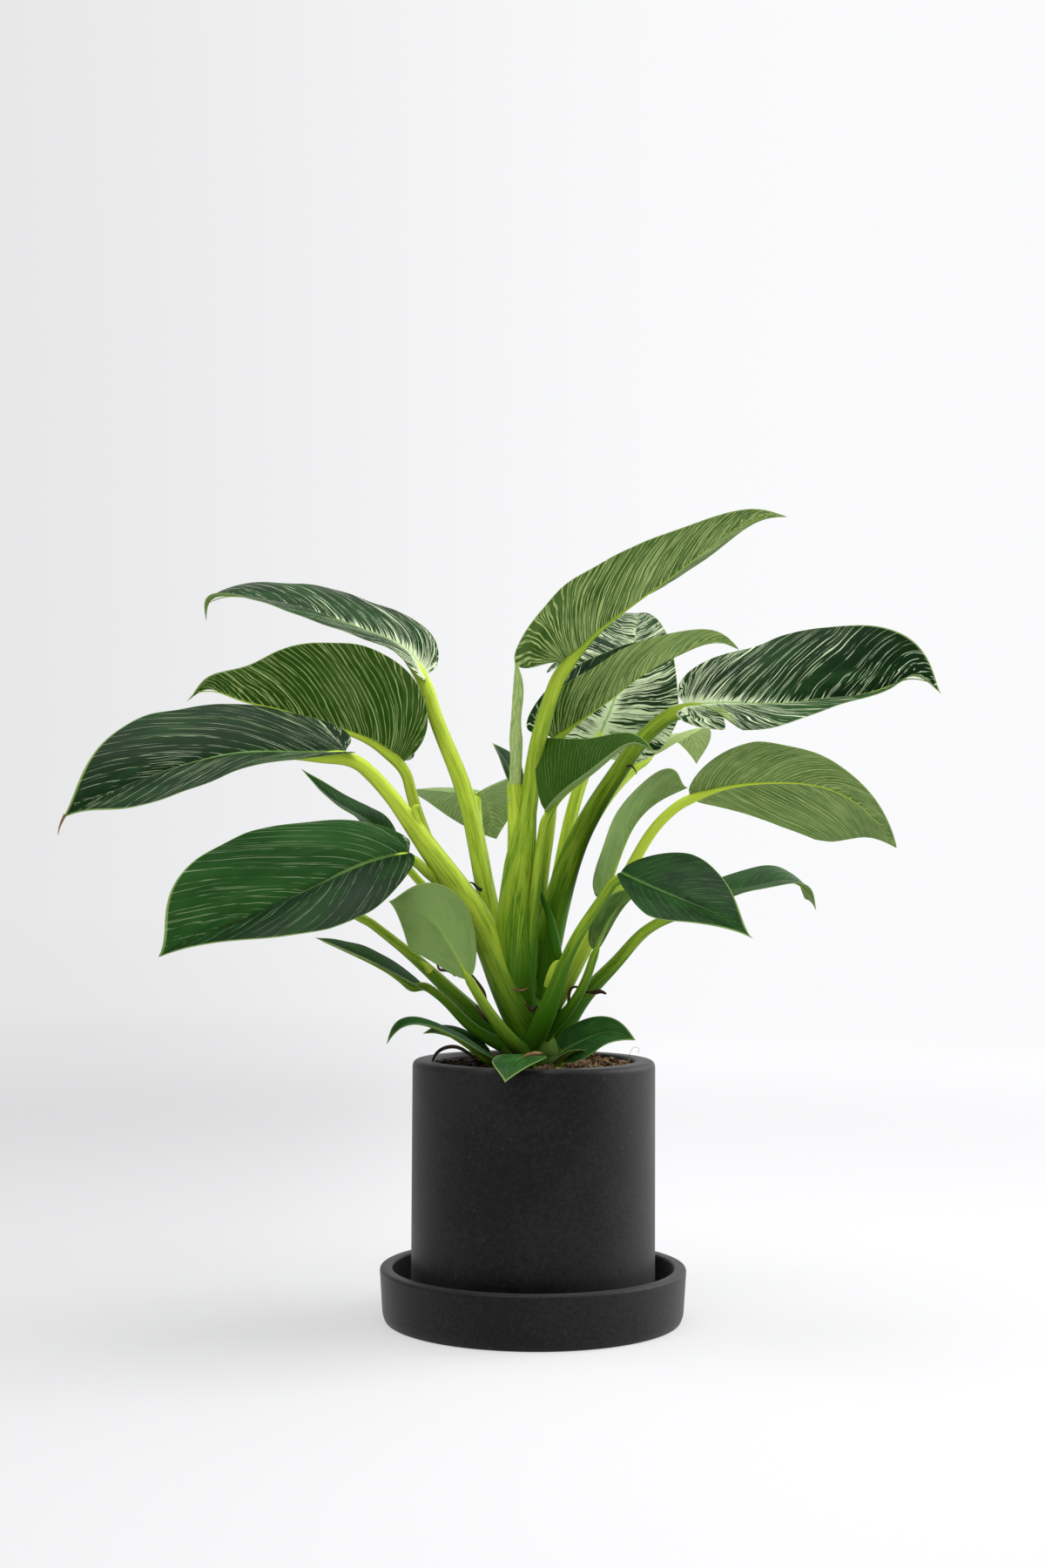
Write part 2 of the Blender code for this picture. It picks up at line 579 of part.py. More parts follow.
def build_soil():
    """Potting mix that fills the planter, lumpy on top, with a plain hole for each stem."""
    segments = 40
    radii = (14.0, 26.0, 36.0, 45.0, 52.0, SOIL_RADIUS)
    points = [(0.0, 0.0, SOIL_BOTTOM), (0.0, 0.0, SOIL_TOP)]
    faces = []
    for radius in radii:
        for k in range(segments):
            turn = 2 * math.pi * k / segments
            x, y = radius * math.cos(turn), radius * math.sin(turn)
            lump = math.sin(0.21 * x + 1.3) * math.cos(0.17 * y - 0.4) + 0.5 * math.sin(0.4 * x - 0.33 * y)
            points.append((x, y, SOIL_TOP + SOIL_RELIEF * lump * (0.4 if radius == SOIL_RADIUS else 1.0)))
    low = len(points)
    for k in range(segments):
        turn = 2 * math.pi * k / segments
        points.append((SOIL_RADIUS * math.cos(turn), SOIL_RADIUS * math.sin(turn), SOIL_BOTTOM))
    for k in range(segments):
        m = (k + 1) % segments
        faces.append((1, 2 + k, 2 + m))
        faces.append((0, low + m, low + k))
        for i in range(len(radii) - 1):
            a, b = 2 + i * segments, 2 + (i + 1) * segments
            faces.append((a + k, b + k, b + m))
            faces.append((a + k, b + m, a + m))
        last = 2 + (len(radii) - 1) * segments
        faces.append((last + k, low + k, low + m, last + m))
    soil = make_object("soil", points, faces, (0.055, 0.030, 0.016), 0.95, smooth=60)
    cut_hole(soil, *STEM_AXIS, ROOT_RADIUS + 1.5 * GAP, ROOT_BOTTOM - GAP, 160, segments=20)
    for spec in SHOOTS.values():
        x, y, _ = spec["stalk"][0]
        cut_hole(soil, x, y, spec["radii"][0] + 2 * GAP, SHOOT_BOTTOM - GAP, 160)
    return soil


def build_crown():
    """The short stem with the petioles of all the leaves grown on it, as one body."""
    x, y = STEM_AXIS
    profile = [(0, ROOT_BOTTOM), (ROOT_RADIUS, ROOT_BOTTOM), (ROOT_RADIUS, ROOT_TOP - 1.5),
               (ROOT_RADIUS - 4, ROOT_TOP), (0, ROOT_TOP)]
    points, faces = revolve(profile, 20)
    crown = make_object("crown", [(p[0] + x, p[1] + y, p[2]) for p in points], faces, GREEN_STALK, 0.45)
    stem = [(x, y, ROOT_BOTTOM + 6), (x, y, 165), (x + 1, y, 190), (x + 4, y, 217)]
    tubes = [(spline(stem, 5)[0], np.linspace(13, 7.5, 5))]
    for spec in LEAVES.values():
        kept, _ = stalk_parts(spec, 6)
        tubes.append(kept)
    for route, radii in EXTRA_STALKS:
        path, _ = spline(route, 5)
        tubes.append((path, np.interp(np.linspace(0, 1, 5), np.linspace(0, 1, len(radii)), radii)))
    others = []
    for k, (path, radii, *ahead) in enumerate(tubes):
        tube = tube_solid(path, radii, TUBE_SIDES, *ahead)
        others.append(make_object(f"tube_{k}", *tube, GREEN_STALK, 0.45))
    return fuse(crown, others, solver="MANIFOLD")


def build_leaf(name, spec):
    """A blade with the stub of its petiole fused under its neck."""
    rows = BLADE_ROWS if spline(spec["rib"], 2)[1] > SMALL_BLADE_LENGTH else SMALL_BLADE_ROWS
    blade = make_object(name, *blade_solid(spec, rows, HALF_COLUMNS), spec["colour"], 0.4, smooth=50)
    _, stub = stalk_parts(spec, 7)
    other = make_object(name + "_stub", *tube_solid(stub[0], stub[1], TUBE_SIDES, stub[2]), spec["colour"], 0.4)
    return fuse(blade, [other])


def build_shoot(name, spec):
    """A small shoot: one thin stalk out of the soil and its blade."""
    blade = make_object(name, *blade_solid(spec, SMALL_BLADE_ROWS, 2), spec["colour"], 0.4, smooth=50)
    path, _ = spline(spec["stalk"], 6)
    rib, length = spline(spec["rib"], 60)
    path = np.concatenate([path, [rib[int(60 * 4.0 / length)] - [0, 0, 0.8]]])
    radii = np.append(np.full(6, spec["radii"][0]), 0.9)
    other = make_object(name + "_stalk", *tube_solid(path, radii, 6), spec["colour"], 0.4)
    return fuse(blade, [other])


def build_spear():
    """The newest leaf, still rolled to a point."""
    route, radii = SPEAR
    path, _ = spline(route, 7)
    width = np.interp(np.linspace(0, 1, 7), np.linspace(0, 1, len(radii)), radii)
    return make_object("new_leaf_spear", *tube_solid(path, width, TUBE_SIDES), GREEN_PALE, 0.4)


def main():
    """Make every piece of the plant and its planter."""
    clear_scene()
    build_saucer()
    build_pot()
    build_soil()
    build_crown()
    build_spear()
    for name, spec in LEAVES.items():
        build_leaf(name, spec)
    for name, spec in SHOOTS.items():
        build_shoot(name, spec)


main()
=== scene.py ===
"""Potted striped philodendron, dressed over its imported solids.

Every size is in millimetres and becomes metres when a mesh is made.
X runs to the right, Y away from the viewer and Z up. The origin is the middle of the saucer's underside.
"""

import logging
import math
from dataclasses import dataclass, field
from enum import Enum

import bpy
import numpy as np
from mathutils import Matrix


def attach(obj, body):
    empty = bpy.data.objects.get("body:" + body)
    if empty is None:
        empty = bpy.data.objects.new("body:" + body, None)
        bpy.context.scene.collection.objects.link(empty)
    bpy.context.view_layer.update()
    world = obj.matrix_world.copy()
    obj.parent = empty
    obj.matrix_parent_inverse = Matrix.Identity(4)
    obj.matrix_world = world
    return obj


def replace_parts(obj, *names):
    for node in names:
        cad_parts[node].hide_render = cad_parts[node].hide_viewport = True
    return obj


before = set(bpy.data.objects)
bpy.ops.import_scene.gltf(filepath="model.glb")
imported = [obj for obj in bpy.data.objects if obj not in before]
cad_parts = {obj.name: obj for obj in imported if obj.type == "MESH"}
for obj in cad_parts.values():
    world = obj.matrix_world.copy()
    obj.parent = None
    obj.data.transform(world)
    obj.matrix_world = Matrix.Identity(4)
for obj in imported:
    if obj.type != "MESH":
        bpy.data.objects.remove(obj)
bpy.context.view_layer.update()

Array = np.ndarray
Faces = list[Array]
Marks = dict[str, Array]
Point = tuple[float, float, float]
Colour = tuple[float, float, float]
Route = tuple[Point, ...]
Piece = bpy.types.Object
Material = bpy.types.Material
Tree = bpy.types.NodeTree
Node = bpy.types.Node
Socket = bpy.types.NodeSocket

MM = 0.001
PALE: Colour = (0.985, 0.988, 1.0)
log = logging.getLogger("philodendron")


# Numbers on curves and grids

def unit(v: Array) -> Array:
    """Scale the vectors along the last axis to length one."""
    return v / np.maximum(np.linalg.norm(v, axis=-1, keepdims=True), 1e-9)


def smooth_step(x: Array, low: float, high: float) -> Array:
    """Rise from 0 at low to 1 at high as 3 q squared minus 2 q cubed."""
    q = np.clip((x - low) / (high - low), 0, 1)
    return q * q * (3 - 2 * q)


def circle(count: int) -> Array:
    """Even angles once round, in radians."""
    return np.linspace(0, 2 * math.pi, count, endpoint=False)


def distances(path: Array) -> Array:
    """Distance from the start to each station: the sum of the steps before it."""
    return np.concatenate([[0], np.cumsum(np.linalg.norm(np.diff(path, axis=0), axis=1))])


def spread(values: tuple[float, ...], share: Array) -> Array:
    """Read values that lie evenly over 0 to 1, in straight lines between them."""
    return np.interp(share, np.linspace(0, 1, len(values)), values)


def averaged(rows: Array, width: int) -> Array:
    """Running average of every column over a number of rows."""
    return np.stack([np.convolve(column, np.ones(width) / width, "valid") for column in rows.T], 1)


def at_places(places: Array, along: Array, table: Array) -> Array:
    """Read each column of a table whose rows lie at along, in straight lines, as a new last axis."""
    return np.stack([np.interp(places, along, column) for column in table.T], -1)


def spline(route: Route, count: int) -> tuple[Array, float]:
    """Evenly spaced stations on the natural cubic curve through a route.

    The knots lie apart by the chord to the power 0.7. Each span is the cubic whose second derivative
    runs straight from one knot's value to the next, and those values solve the tridiagonal system.

    Args:
        route: Points that the curve runs through.
        count: Number of stations.

    Returns:
        The stations, and the length of the curve.
    """
    p = np.asarray(route, float)
    knot = np.concatenate([[0], np.cumsum(np.linalg.norm(np.diff(p, axis=0), axis=1) ** 0.7)])
    size, step = len(p), np.diff(knot)
    matrix, right = np.eye(size), np.zeros_like(p)
    inner = np.arange(1, size - 1)
    matrix[inner, inner - 1], matrix[inner, inner] = step[:-1], 2 * (step[:-1] + step[1:])
    matrix[inner, inner + 1] = step[1:]
    slope = np.diff(p, axis=0) / step[:, None]
    right[1:-1] = 6 * np.diff(slope, axis=0)
    bend = np.linalg.solve(matrix, right)
    u = np.linspace(0, knot[-1], 400)
    i = np.clip(np.searchsorted(knot, u, side="right") - 1, 0, size - 2)
    a, b, h = (knot[i + 1] - u)[:, None], (u - knot[i])[:, None], step[i][:, None]
    fine = (bend[i] * a ** 3 + bend[i + 1] * b ** 3) / (6 * h)
    fine += (p[i + 1] / h - bend[i + 1] * h / 6) * b + (p[i] / h - bend[i] * h / 6) * a
    along = distances(fine)
    return at_places(np.linspace(0, along[-1], count), along, fine), float(along[-1])


def bezier(p0: Array, p1: Array, p2: Array, p3: Array, count: int) -> Array:
    """Points on a cubic curve: its control points weighted by the terms of (1 - t + t) cubed."""
    t = np.linspace(0, 1, count)[:, None]
    return (1 - t) ** 3 * p0 + 3 * (1 - t) ** 2 * t * p1 + 3 * (1 - t) * t ** 2 * p2 + t ** 3 * p3


# Meshes

def grid_faces(rows: int, columns: int, wrap: bool = False, start: int = 0) -> Array:
    """Four-cornered faces of a grid whose vertices are numbered row by row.

    Face (i, j) has the corners i j, i j+1, i+1 j+1 and i+1 j. With wrap the last column joins the first.

    Args:
        rows: Rows of vertices.
        columns: Columns of vertices.
        wrap: True for a closed tube.
        start: Number of the first vertex.

    Returns:
        An array of faces, four vertex numbers each.
    """
    i, j = np.meshgrid(np.arange(rows - 1), np.arange(columns if wrap else columns - 1), indexing="ij")
    k = (j + 1) % columns
    faces = np.stack([i * columns + j, i * columns + k, (i + 1) * columns + k, (i + 1) * columns + j], -1)
    return faces.reshape(-1, 4) + start


def fan(apex: int, first: Array, second: Array) -> Array:
    """Triangles that join one vertex to pairs of others."""
    return np.stack([np.full(len(first), apex), first, second], -1)


def make_piece(name: str, points: Array, faces: Faces, finishes: list[Material], slot: str,
               slots: list[int] | None = None, marks: Marks | None = None,
               crease: float = 50.0) -> Piece:
    """Put points in millimetres and faces into a new mesh object that rides on the part.

    Args:
        name: Name of the piece.
        points: One row for each vertex.
        faces: Arrays of faces with the same number of corners in each array.
        finishes: The materials of the piece.
        slot: The record's material slot. It is not set on the piece; any slot makes the piece ride on the part.
        slots: Material number for each array of faces.
        marks: Vectors for each vertex, by attribute name.
        crease: Angle in degrees past which an edge is sharp.

    Returns:
        The new object, at the origin.
    """
    mesh = bpy.data.meshes.new(name)
    corners = [a.shape[1] for a in faces for _ in range(len(a))]
    loops = np.concatenate([a.ravel() for a in faces])
    mesh.vertices.add(len(points))
    mesh.vertices.foreach_set("co", (np.asarray(points, float) * MM).ravel())
    mesh.loops.add(len(loops))
    mesh.loops.foreach_set("vertex_index", loops)
    mesh.polygons.add(len(corners))
    mesh.polygons.foreach_set("loop_start", np.concatenate([[0], np.cumsum(corners)[:-1]]))
    numbers = [np.full(len(a), k) for a, k in zip(faces, slots or [0] * len(faces))]
    mesh.polygons.foreach_set("material_index", np.concatenate(numbers))
    for finish in finishes:
        mesh.materials.append(finish)
    for key, values in (marks or {}).items():
        layer = mesh.attributes.new(key, "FLOAT_VECTOR", "POINT")
        layer.data.foreach_set("vector", np.asarray(values, float).ravel())
    mesh.update(calc_edges=True)
    mesh.validate()
    mesh.shade_smooth()
    mesh.set_sharp_from_angle(angle=math.radians(crease))
    item = bpy.data.objects.new(name, mesh)
    bpy.context.scene.collection.objects.link(item)
    if slot:
        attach(item, "root")
    return item


@dataclass
class Batch:
    """Several closed shapes that are gathered into one mesh."""

    points: list[Array] = field(default_factory=list)
    faces: dict[int, list[Array]] = field(default_factory=dict)
    marks: dict[str, list[Array]] = field(default_factory=dict)
    count: int = 0

    def add(self, points: Array, faces: Faces, marks: Marks | None = None) -> None:
        """Add one shape.

        Args:
            points: Its vertices in millimetres.
            faces: Its faces, numbered from 0.
            marks: Vectors for each vertex, by attribute name.
        """
        self.points.append(points)
        for a in faces:
            self.faces.setdefault(a.shape[1], []).append(a + self.count)
        for key, values in (marks or {}).items():
            self.marks.setdefault(key, []).append(values)
        self.count += len(points)

    def piece(self, name: str, finish: Material, slot: str) -> Piece:
        """Make the one mesh.

        Args:
            name: Name of the piece.
            finish: Its material.
            slot: The record's material slot.

        Returns:
            The new object.
        """
        faces = [np.concatenate(self.faces[k]) for k in sorted(self.faces)]
        marks = {key: np.concatenate(values) for key, values in self.marks.items()}
        return make_piece(name, np.concatenate(self.points), faces, [finish], slot, marks=marks)


def frames_along(path: Array, hint: Array) -> tuple[Array, Array, Array]:
    """Three square directions at each station: ahead, the side nearest the hint, and the third.

    Args:
        path: Stations.
        hint: A direction, or one for each station.

    Returns:
        Unit vectors ahead, near the hint, and square to both.
    """
    ahead = unit(np.gradient(path, axis=0))
    hint = np.broadcast_to(hint, ahead.shape)
    near = unit(hint - ahead * (hint * ahead).sum(-1, keepdims=True))
    return ahead, near, np.cross(ahead, near)


def tube(path: Array, radii: Array, sides: int, hint: Array = np.array([0.0, 1.0, 0.0]),
         profile: Array | None = None) -> tuple[Array, Faces, Marks]:
    """Closed tube: station + radius * profile * (cos a * near + sin a * third), with a cap at each end.

    Args:
        path: Stations along the middle.
        radii: Radius at each station.
        sides: Points round the tube.
        hint: Direction that angle 0 faces.
        profile: Share of the radius by station and angle, or None for a round tube.

    Returns:
        Points, faces, and the mark "stalk": cosine, sine and distance along in millimetres.
    """
    _, near, third = frames_along(path, hint)
    turn = circle(sides)
    ring = near[:, None] * np.cos(turn)[None, :, None] + third[:, None] * np.sin(turn)[None, :, None]
    share = np.ones((len(path), sides)) if profile is None else profile
    points = path[:, None] + ring * (np.asarray(radii)[:, None] * share)[..., None]
    along = distances(path)
    mark = np.stack(np.broadcast_arrays(np.cos(turn)[None], np.sin(turn)[None], along[:, None]), -1)
    points = np.concatenate([points.reshape(-1, 3), path[:1], path[-1:]])
    mark = np.concatenate([mark.reshape(-1, 3), [[0, 0, 0], [0, 0, along[-1]]]])
    count = len(path)
    k = np.arange(sides)
    low = fan(count * sides, (k + 1) % sides, k)
    last = (count - 1) * sides
    high = fan(count * sides + 1, last + k, last + (k + 1) % sides)
    return points, [grid_faces(count, sides, wrap=True), np.concatenate([low, high])], {"stalk": mark}


def rings(radii: Array, heights: Array, segments: int) -> Array:
    """Rings about Z: a row's point at angle a is (r cos a, r sin a, z)."""
    x, y = radii[:, None] * np.cos(circle(segments)), radii[:, None] * np.sin(circle(segments))
    return np.stack([x, y, np.broadcast_to(heights[:, None], x.shape)], -1).reshape(-1, 3)


def revolved(profile: Array, segments: int) -> tuple[Array, Faces]:
    """Turn an outline about Z, so that each of its rows becomes a ring.

    Args:
        profile: Rows of radius and height, closed from the last row to the first.
        segments: Points round.

    Returns:
        Points and faces of a closed ring-like body.
    """
    side = grid_faces(len(profile), segments, wrap=True)
    k = np.arange(segments)
    m, last = (k + 1) % segments, (len(profile) - 1) * segments
    shut = np.stack([last + k, last + m, m, k], -1)
    return rings(profile[:, 0], profile[:, 1], segments), [np.concatenate([side, shut])]


def rounded(corners: list[tuple[float, float, float]], steps: int = 6) -> Array:
    """Round the corners of a closed outline, each by an arc-like quadratic curve.

    Each corner becomes (1-t)^2 a + 2 t (1-t) c + t^2 b, with a and b set off from the corner c by its radius.

    Args:
        corners: Radius from the axis, height and rounding of each corner.
        steps: Points on each rounded corner.

    Returns:
        Rows of radius and height.
    """
    c = np.array([p[:2] for p in corners])
    off = np.array([p[2] for p in corners])[:, None]
    before, after = unit(np.roll(c, 1, 0) - c), unit(np.roll(c, -1, 0) - c)
    a, b = c + before * off, c + after * off
    t = np.linspace(0, 1, steps)[None, :, None]
    curve = (1 - t) ** 2 * a[:, None] + 2 * t * (1 - t) * c[:, None] + t ** 2 * b[:, None]
    return curve.reshape(-1, 2)


# Shader groups and finishes

class SocketKind(Enum):
    """Kinds of group socket."""

    NUMBER = "NodeSocketFloat"
    VECTOR = "NodeSocketVector"


class Graph:
    """Short words for adding and joining shader nodes in one tree."""

    def __init__(self, tree: Tree) -> None:
        """Keep the tree that nodes are added to."""
        self.tree = tree

    def add(self, kind: str, inputs: dict | None = None, **settings: object) -> Node:
        """Add a node.

        Args:
            kind: Node type.
            inputs: Value or source socket for each input, by name or number.
            settings: Properties of the node.

        Returns:
            The node.
        """
        node = self.tree.nodes.new(kind)
        for key, value in settings.items():
            setattr(node, key, value)
        self.fill(node, inputs or {})
        return node

    def fill(self, node: Node, inputs: dict) -> None:
        """Put a value or a source on each input, by name or number."""
        for key, value in inputs.items():
            self.put(node.inputs[key], value)

    def put(self, socket: Socket, value: object) -> None:
        """Join a source to a socket, or write a plain value on it.

        Args:
            socket: The input socket.
            value: A source socket or a value.
        """
        if isinstance(value, Socket):
            self.tree.links.new(value, socket)
        elif isinstance(value, tuple) and len(value) == 3 and socket.type == "RGBA":
            socket.default_value = (*value, 1.0)
        else:
            socket.default_value = value

    def math(self, operation: str, *values: object, clamp: bool = False) -> Socket:
        """One step of arithmetic on numbers or sources, held in 0 to 1 where clamp is set."""
        node = self.add("ShaderNodeMath", dict(enumerate(values)), operation=operation, use_clamp=clamp)
        return node.outputs[0]

    def times(self, first: object, second: object) -> Socket:
        """The product of two numbers."""
        return self.math("MULTIPLY", first, second)

    def plus(self, first: object, second: object, clamp: bool = False) -> Socket:
        """The sum of two numbers."""
        return self.math("ADD", first, second, clamp=clamp)

    def minus(self, first: object, second: object) -> Socket:
        """The first number less the second."""
        return self.math("SUBTRACT", first, second)

    def line(self, value: object, slope: object, start: object, clamp: bool = False) -> Socket:
        """A number on a straight line: value times slope plus start."""
        return self.math("MULTIPLY_ADD", value, slope, start, clamp=clamp)

    def span(self, value: object, low: object, high: object, to_low: object = 0.0,
             to_high: object = 1.0) -> Socket:
        """Map the range from low to high smoothly onto the range from to_low to to_high."""
        ends = {"Value": value, "From Min": low, "From Max": high, "To Min": to_low, "To Max": to_high}
        return self.add("ShaderNodeMapRange", ends, interpolation_type="SMOOTHSTEP").outputs[0]

    def vector(self, x: object, y: object, z: object) -> Socket:
        """Three numbers joined to a vector."""
        return self.add("ShaderNodeCombineXYZ", {0: x, 1: y, 2: z}).outputs[0]

    def noise(self, place: object, scale: object, detail: float = 2.0, rough: float = 0.5) -> Socket:
        """Fractal noise about 0.5: cells to the unit, octaves, and each octave's strength against the last."""
        settings = {"Vector": place, "Scale": scale, "Detail": detail, "Roughness": rough}
        return self.add("ShaderNodeTexNoise", settings).outputs["Fac"]

    def blend(self, share: object, first: object, second: object, kind: str = "MIX") -> Socket:
        """Two colours mixed, with a share of the second. Inputs 6 and 7 are the node's two colours."""
        node = self.add("ShaderNodeMix", {0: share, 6: first, 7: second}, data_type="RGBA", blend_type=kind)
        return node.outputs[2]

    def split(self, vector: object) -> tuple[Socket, ...]:
        """The three numbers of a vector."""
        return tuple(self.add("ShaderNodeSeparateXYZ", {0: vector}).outputs)

    def mark(self, name: str) -> Socket:
        """A mesh attribute as a vector."""
        return self.add("ShaderNodeAttribute", attribute_name=name).outputs["Vector"]

    def object_place(self) -> Socket:
        """Object coordinates in metres."""
        return self.add("ShaderNodeTexCoord").outputs["Object"]

    def group(self, tree: Tree, inputs: dict) -> dict[str, Socket]:
        """Place a shader group and give its outputs."""
        return self.add("ShaderNodeGroup", inputs, node_tree=tree).outputs


def open_group(name: str, vectors: tuple[str, ...], numbers: dict[str, float],
               outputs: tuple[str, ...]) -> tuple[Tree, Graph, dict, dict]:
    """Start a shader node group with named sockets.

    Args:
        name: Name of the group.
        vectors: Its vector inputs.
        numbers: Its number inputs, each with its default.
        outputs: Its outputs, which are numbers.

    Returns:
        The group, its graph, its input sources by name and its output sockets by name.
    """
    tree = bpy.data.node_groups.new(name, "ShaderNodeTree")
    for key in (*vectors, *numbers):
        kind = SocketKind.VECTOR if key in vectors else SocketKind.NUMBER
        socket = tree.interface.new_socket(name=key, in_out="INPUT", socket_type=kind.value)
        if key in numbers:
            socket.default_value = numbers[key]
    for key in outputs:
        tree.interface.new_socket(name=key, in_out="OUTPUT", socket_type=SocketKind.NUMBER.value)
    source, sink = tree.nodes.new("NodeGroupInput"), tree.nodes.new("NodeGroupOutput")
    return tree, Graph(tree), source.outputs, sink.inputs


class Groups:
    """The effects that more than one finish uses, each built once."""

    def __init__(self) -> None:
        """Build every group."""
        self.veins = self._veins()
        self.mottle = self._mottle()
        self.streaks = self._streaks()
        self.backdrop = self._backdrop()

    def _veins(self) -> Tree:
        """Side veins and cream stripes of a blade, read from its own vein numbers.

        A vein stands where the count of veins times the vein number is whole. Stripes are noise that is
        stretched along the veins and cut at a level that falls where the blade is more variegated.

        Returns:
            The group.
        """
        tree, g, i, o = open_group(
            "blade_veins", ("Vein", "Reach", "Look"),
            {"Count": 17.0, "Width": 0.085, "Stripe scale": 95.0, "Margin mm": 0.5, "Rib mm": 1.6},
            ("Stripes", "Veins", "Margin", "Rib", "Height", "Patch"))
        t, v, seed = g.split(i["Vein"])
        rib, edge, along = g.split(i["Reach"])
        _, cream, fan_share = g.split(i["Look"])
        across = g.math("ABSOLUTE", v)
        side_shift, seed_shift = 3.1, 17.0
        shift = g.line(g.math("SIGN", v), side_shift, g.times(seed, seed_shift))

        def strands(source: Socket, cells: object, crosswise: float, detail: float) -> Socket:
            """Noise stretched along the veins: so many cells over the source, and fewer across."""
            return g.noise(g.vector(g.times(source, cells), g.times(across, crosswise), shift), 1.0, detail)

        # Side veins, which wander a little and are broken where they are pale
        warped = g.line(g.minus(strands(t, 9.0, 1.6, 2.0), 0.5), 0.05, t)
        phase = g.math("FRACT", g.times(warped, i["Count"]))
        vein = g.span(g.math("ABSOLUTE", g.minus(phase, 0.5)), g.minus(0.5, i["Width"]), 0.5)
        lined = g.times(vein, g.span(strands(t, 45.0, 7.0, 1.0), 0.40, 0.60, 0.06, 1.0))

        # How variegated the blade is, with more near the midrib and at the base of a fan
        near_rib = g.math("EXPONENT", g.times(rib, -0.06))
        fan_here = g.times(fan_share, g.math("EXPONENT", g.times(along, -4.5)))
        rich = g.plus(g.times(cream, g.line(near_rib, 0.45, 0.65)), fan_here)

        # Wide and thin stripes, cut where their noise passes a level, and broken into dashes
        coarse = strands(warped, i["Stripe scale"], 0.9, 0.6)
        fine = strands(g.times(warped, i["Stripe scale"]), 1.7, 1.8, 0.6)
        level = g.line(rich, -0.12, 0.74)
        thin_level = g.plus(level, 0.015)
        wide = g.span(coarse, level, g.plus(level, 0.035))
        thin = g.span(fine, thin_level, g.plus(thin_level, 0.045), 0.0, 0.9)
        breaks = g.span(strands(t, 90.0, 5.0, 1.0), 0.30, 0.52, 0.5, 1.0)
        dashed = g.times(g.times(g.math("MAXIMUM", wide, thin), breaks), g.span(rich, 0.0, 0.55, 0.15, 1.0))

        # The pale flood at the base of a fan
        at_rib = g.math("EXPONENT", g.line(rib, -0.12, g.times(along, -2.0)))
        flood_level = g.line(coarse, -1.7, 1.35)
        flood = g.span(g.times(fan_share, at_rib), flood_level, g.plus(flood_level, 0.22))
        stripes = g.math("MAXIMUM", g.math("MAXIMUM", dashed, flood),
                         g.times(lined, g.line(cream, 1.1, 0.02)), clamp=True)

        # Margin, midrib, relief and slow patches
        margin = g.span(edge, g.times(i["Margin mm"], 0.45), i["Margin mm"], 1.0, 0.0)
        band = g.times(g.times(i["Rib mm"], g.line(coarse, 2.4, -0.35)), g.span(along, 0.05, 0.72, 1.0, 0.05))
        middle = g.times(g.span(rib, g.times(band, 0.25), band, 1.0, 0.0), g.line(cream, 1.1, 0.42, clamp=True))
        height = g.line(vein, -0.8, g.times(strands(t, 260.0, 16.0, 2.0), 0.5))
        patch = g.span(g.noise(g.vector(g.times(t, 5.0), g.times(v, 2.0), shift), 1.0, 3.0), 0.3, 0.7)
        for key, value in (("Stripes", stripes), ("Veins", vein), ("Margin", margin), ("Rib", middle),
                           ("Height", height), ("Patch", patch)):
            g.put(o[key], value)
        return tree

    def _mottle(self) -> Tree:
        """Soft clouds, fine grain and specks in Object coordinates.

        Returns:
            The group.
        """
        tree, g, i, o = open_group("mottle", ("Place",), {"Cloud scale": 30.0, "Grain scale": 900.0,
                                                          "Speck level": 0.72}, ("Cloud", "Grain", "Speck"))
        speck = g.noise(i["Place"], g.times(i["Grain scale"], 0.8), 0.0)
        g.put(o["Cloud"], g.span(g.noise(i["Place"], i["Cloud scale"], 3.0), 0.3, 0.7))
        g.put(o["Grain"], g.noise(i["Place"], i["Grain scale"], 2.0))
        g.put(o["Speck"], g.span(speck, i["Speck level"], g.plus(i["Speck level"], 0.05)))
        return tree

    def _streaks(self) -> Tree:
        """Fine lines along a stalk, from noise on the cosine, the sine and the shortened distance.

        Returns:
            The group.
        """
        tree, g, i, o = open_group("stalk_streaks", ("Stalk",), {"Lines": 15.0, "Per mm": 0.05},
                                   ("Streaks", "Broad", "Height"))
        c, s, along = g.split(i["Stalk"])
        short = g.times(along, i["Per mm"])
        fine = g.noise(g.vector(g.times(c, i["Lines"]), g.times(s, i["Lines"]), short), 1.0, 3.0, 0.6)
        broad = g.noise(g.vector(g.times(c, 1.4), g.times(s, 1.4), g.times(short, 0.6)), 1.0, 2.0)
        g.put(o["Streaks"], g.span(fine, 0.42, 0.66))
        g.put(o["Broad"], g.span(broad, 0.40, 0.60))
        g.put(o["Height"], fine)
        return tree

    def _backdrop(self) -> Tree:
        """Brightness of the pale surround, which rises from the left to the right of a direction.

        Returns:
            The group.
        """
        tree, g, i, o = open_group("backdrop_level", ("Way",), {}, ("Level",))
        # Painted light: the surround is dimmer to the left and brighter to the right, where the light comes
        # from
        left, right, dim, bright = -0.322, 0.139, 0.80, 0.972
        side, _, _ = g.split(g.add("ShaderNodeVectorMath", {0: i["Way"]}, operation="NORMALIZE").outputs[0])
        g.put(o["Level"], g.span(side, left, right, dim, bright))
        return tree


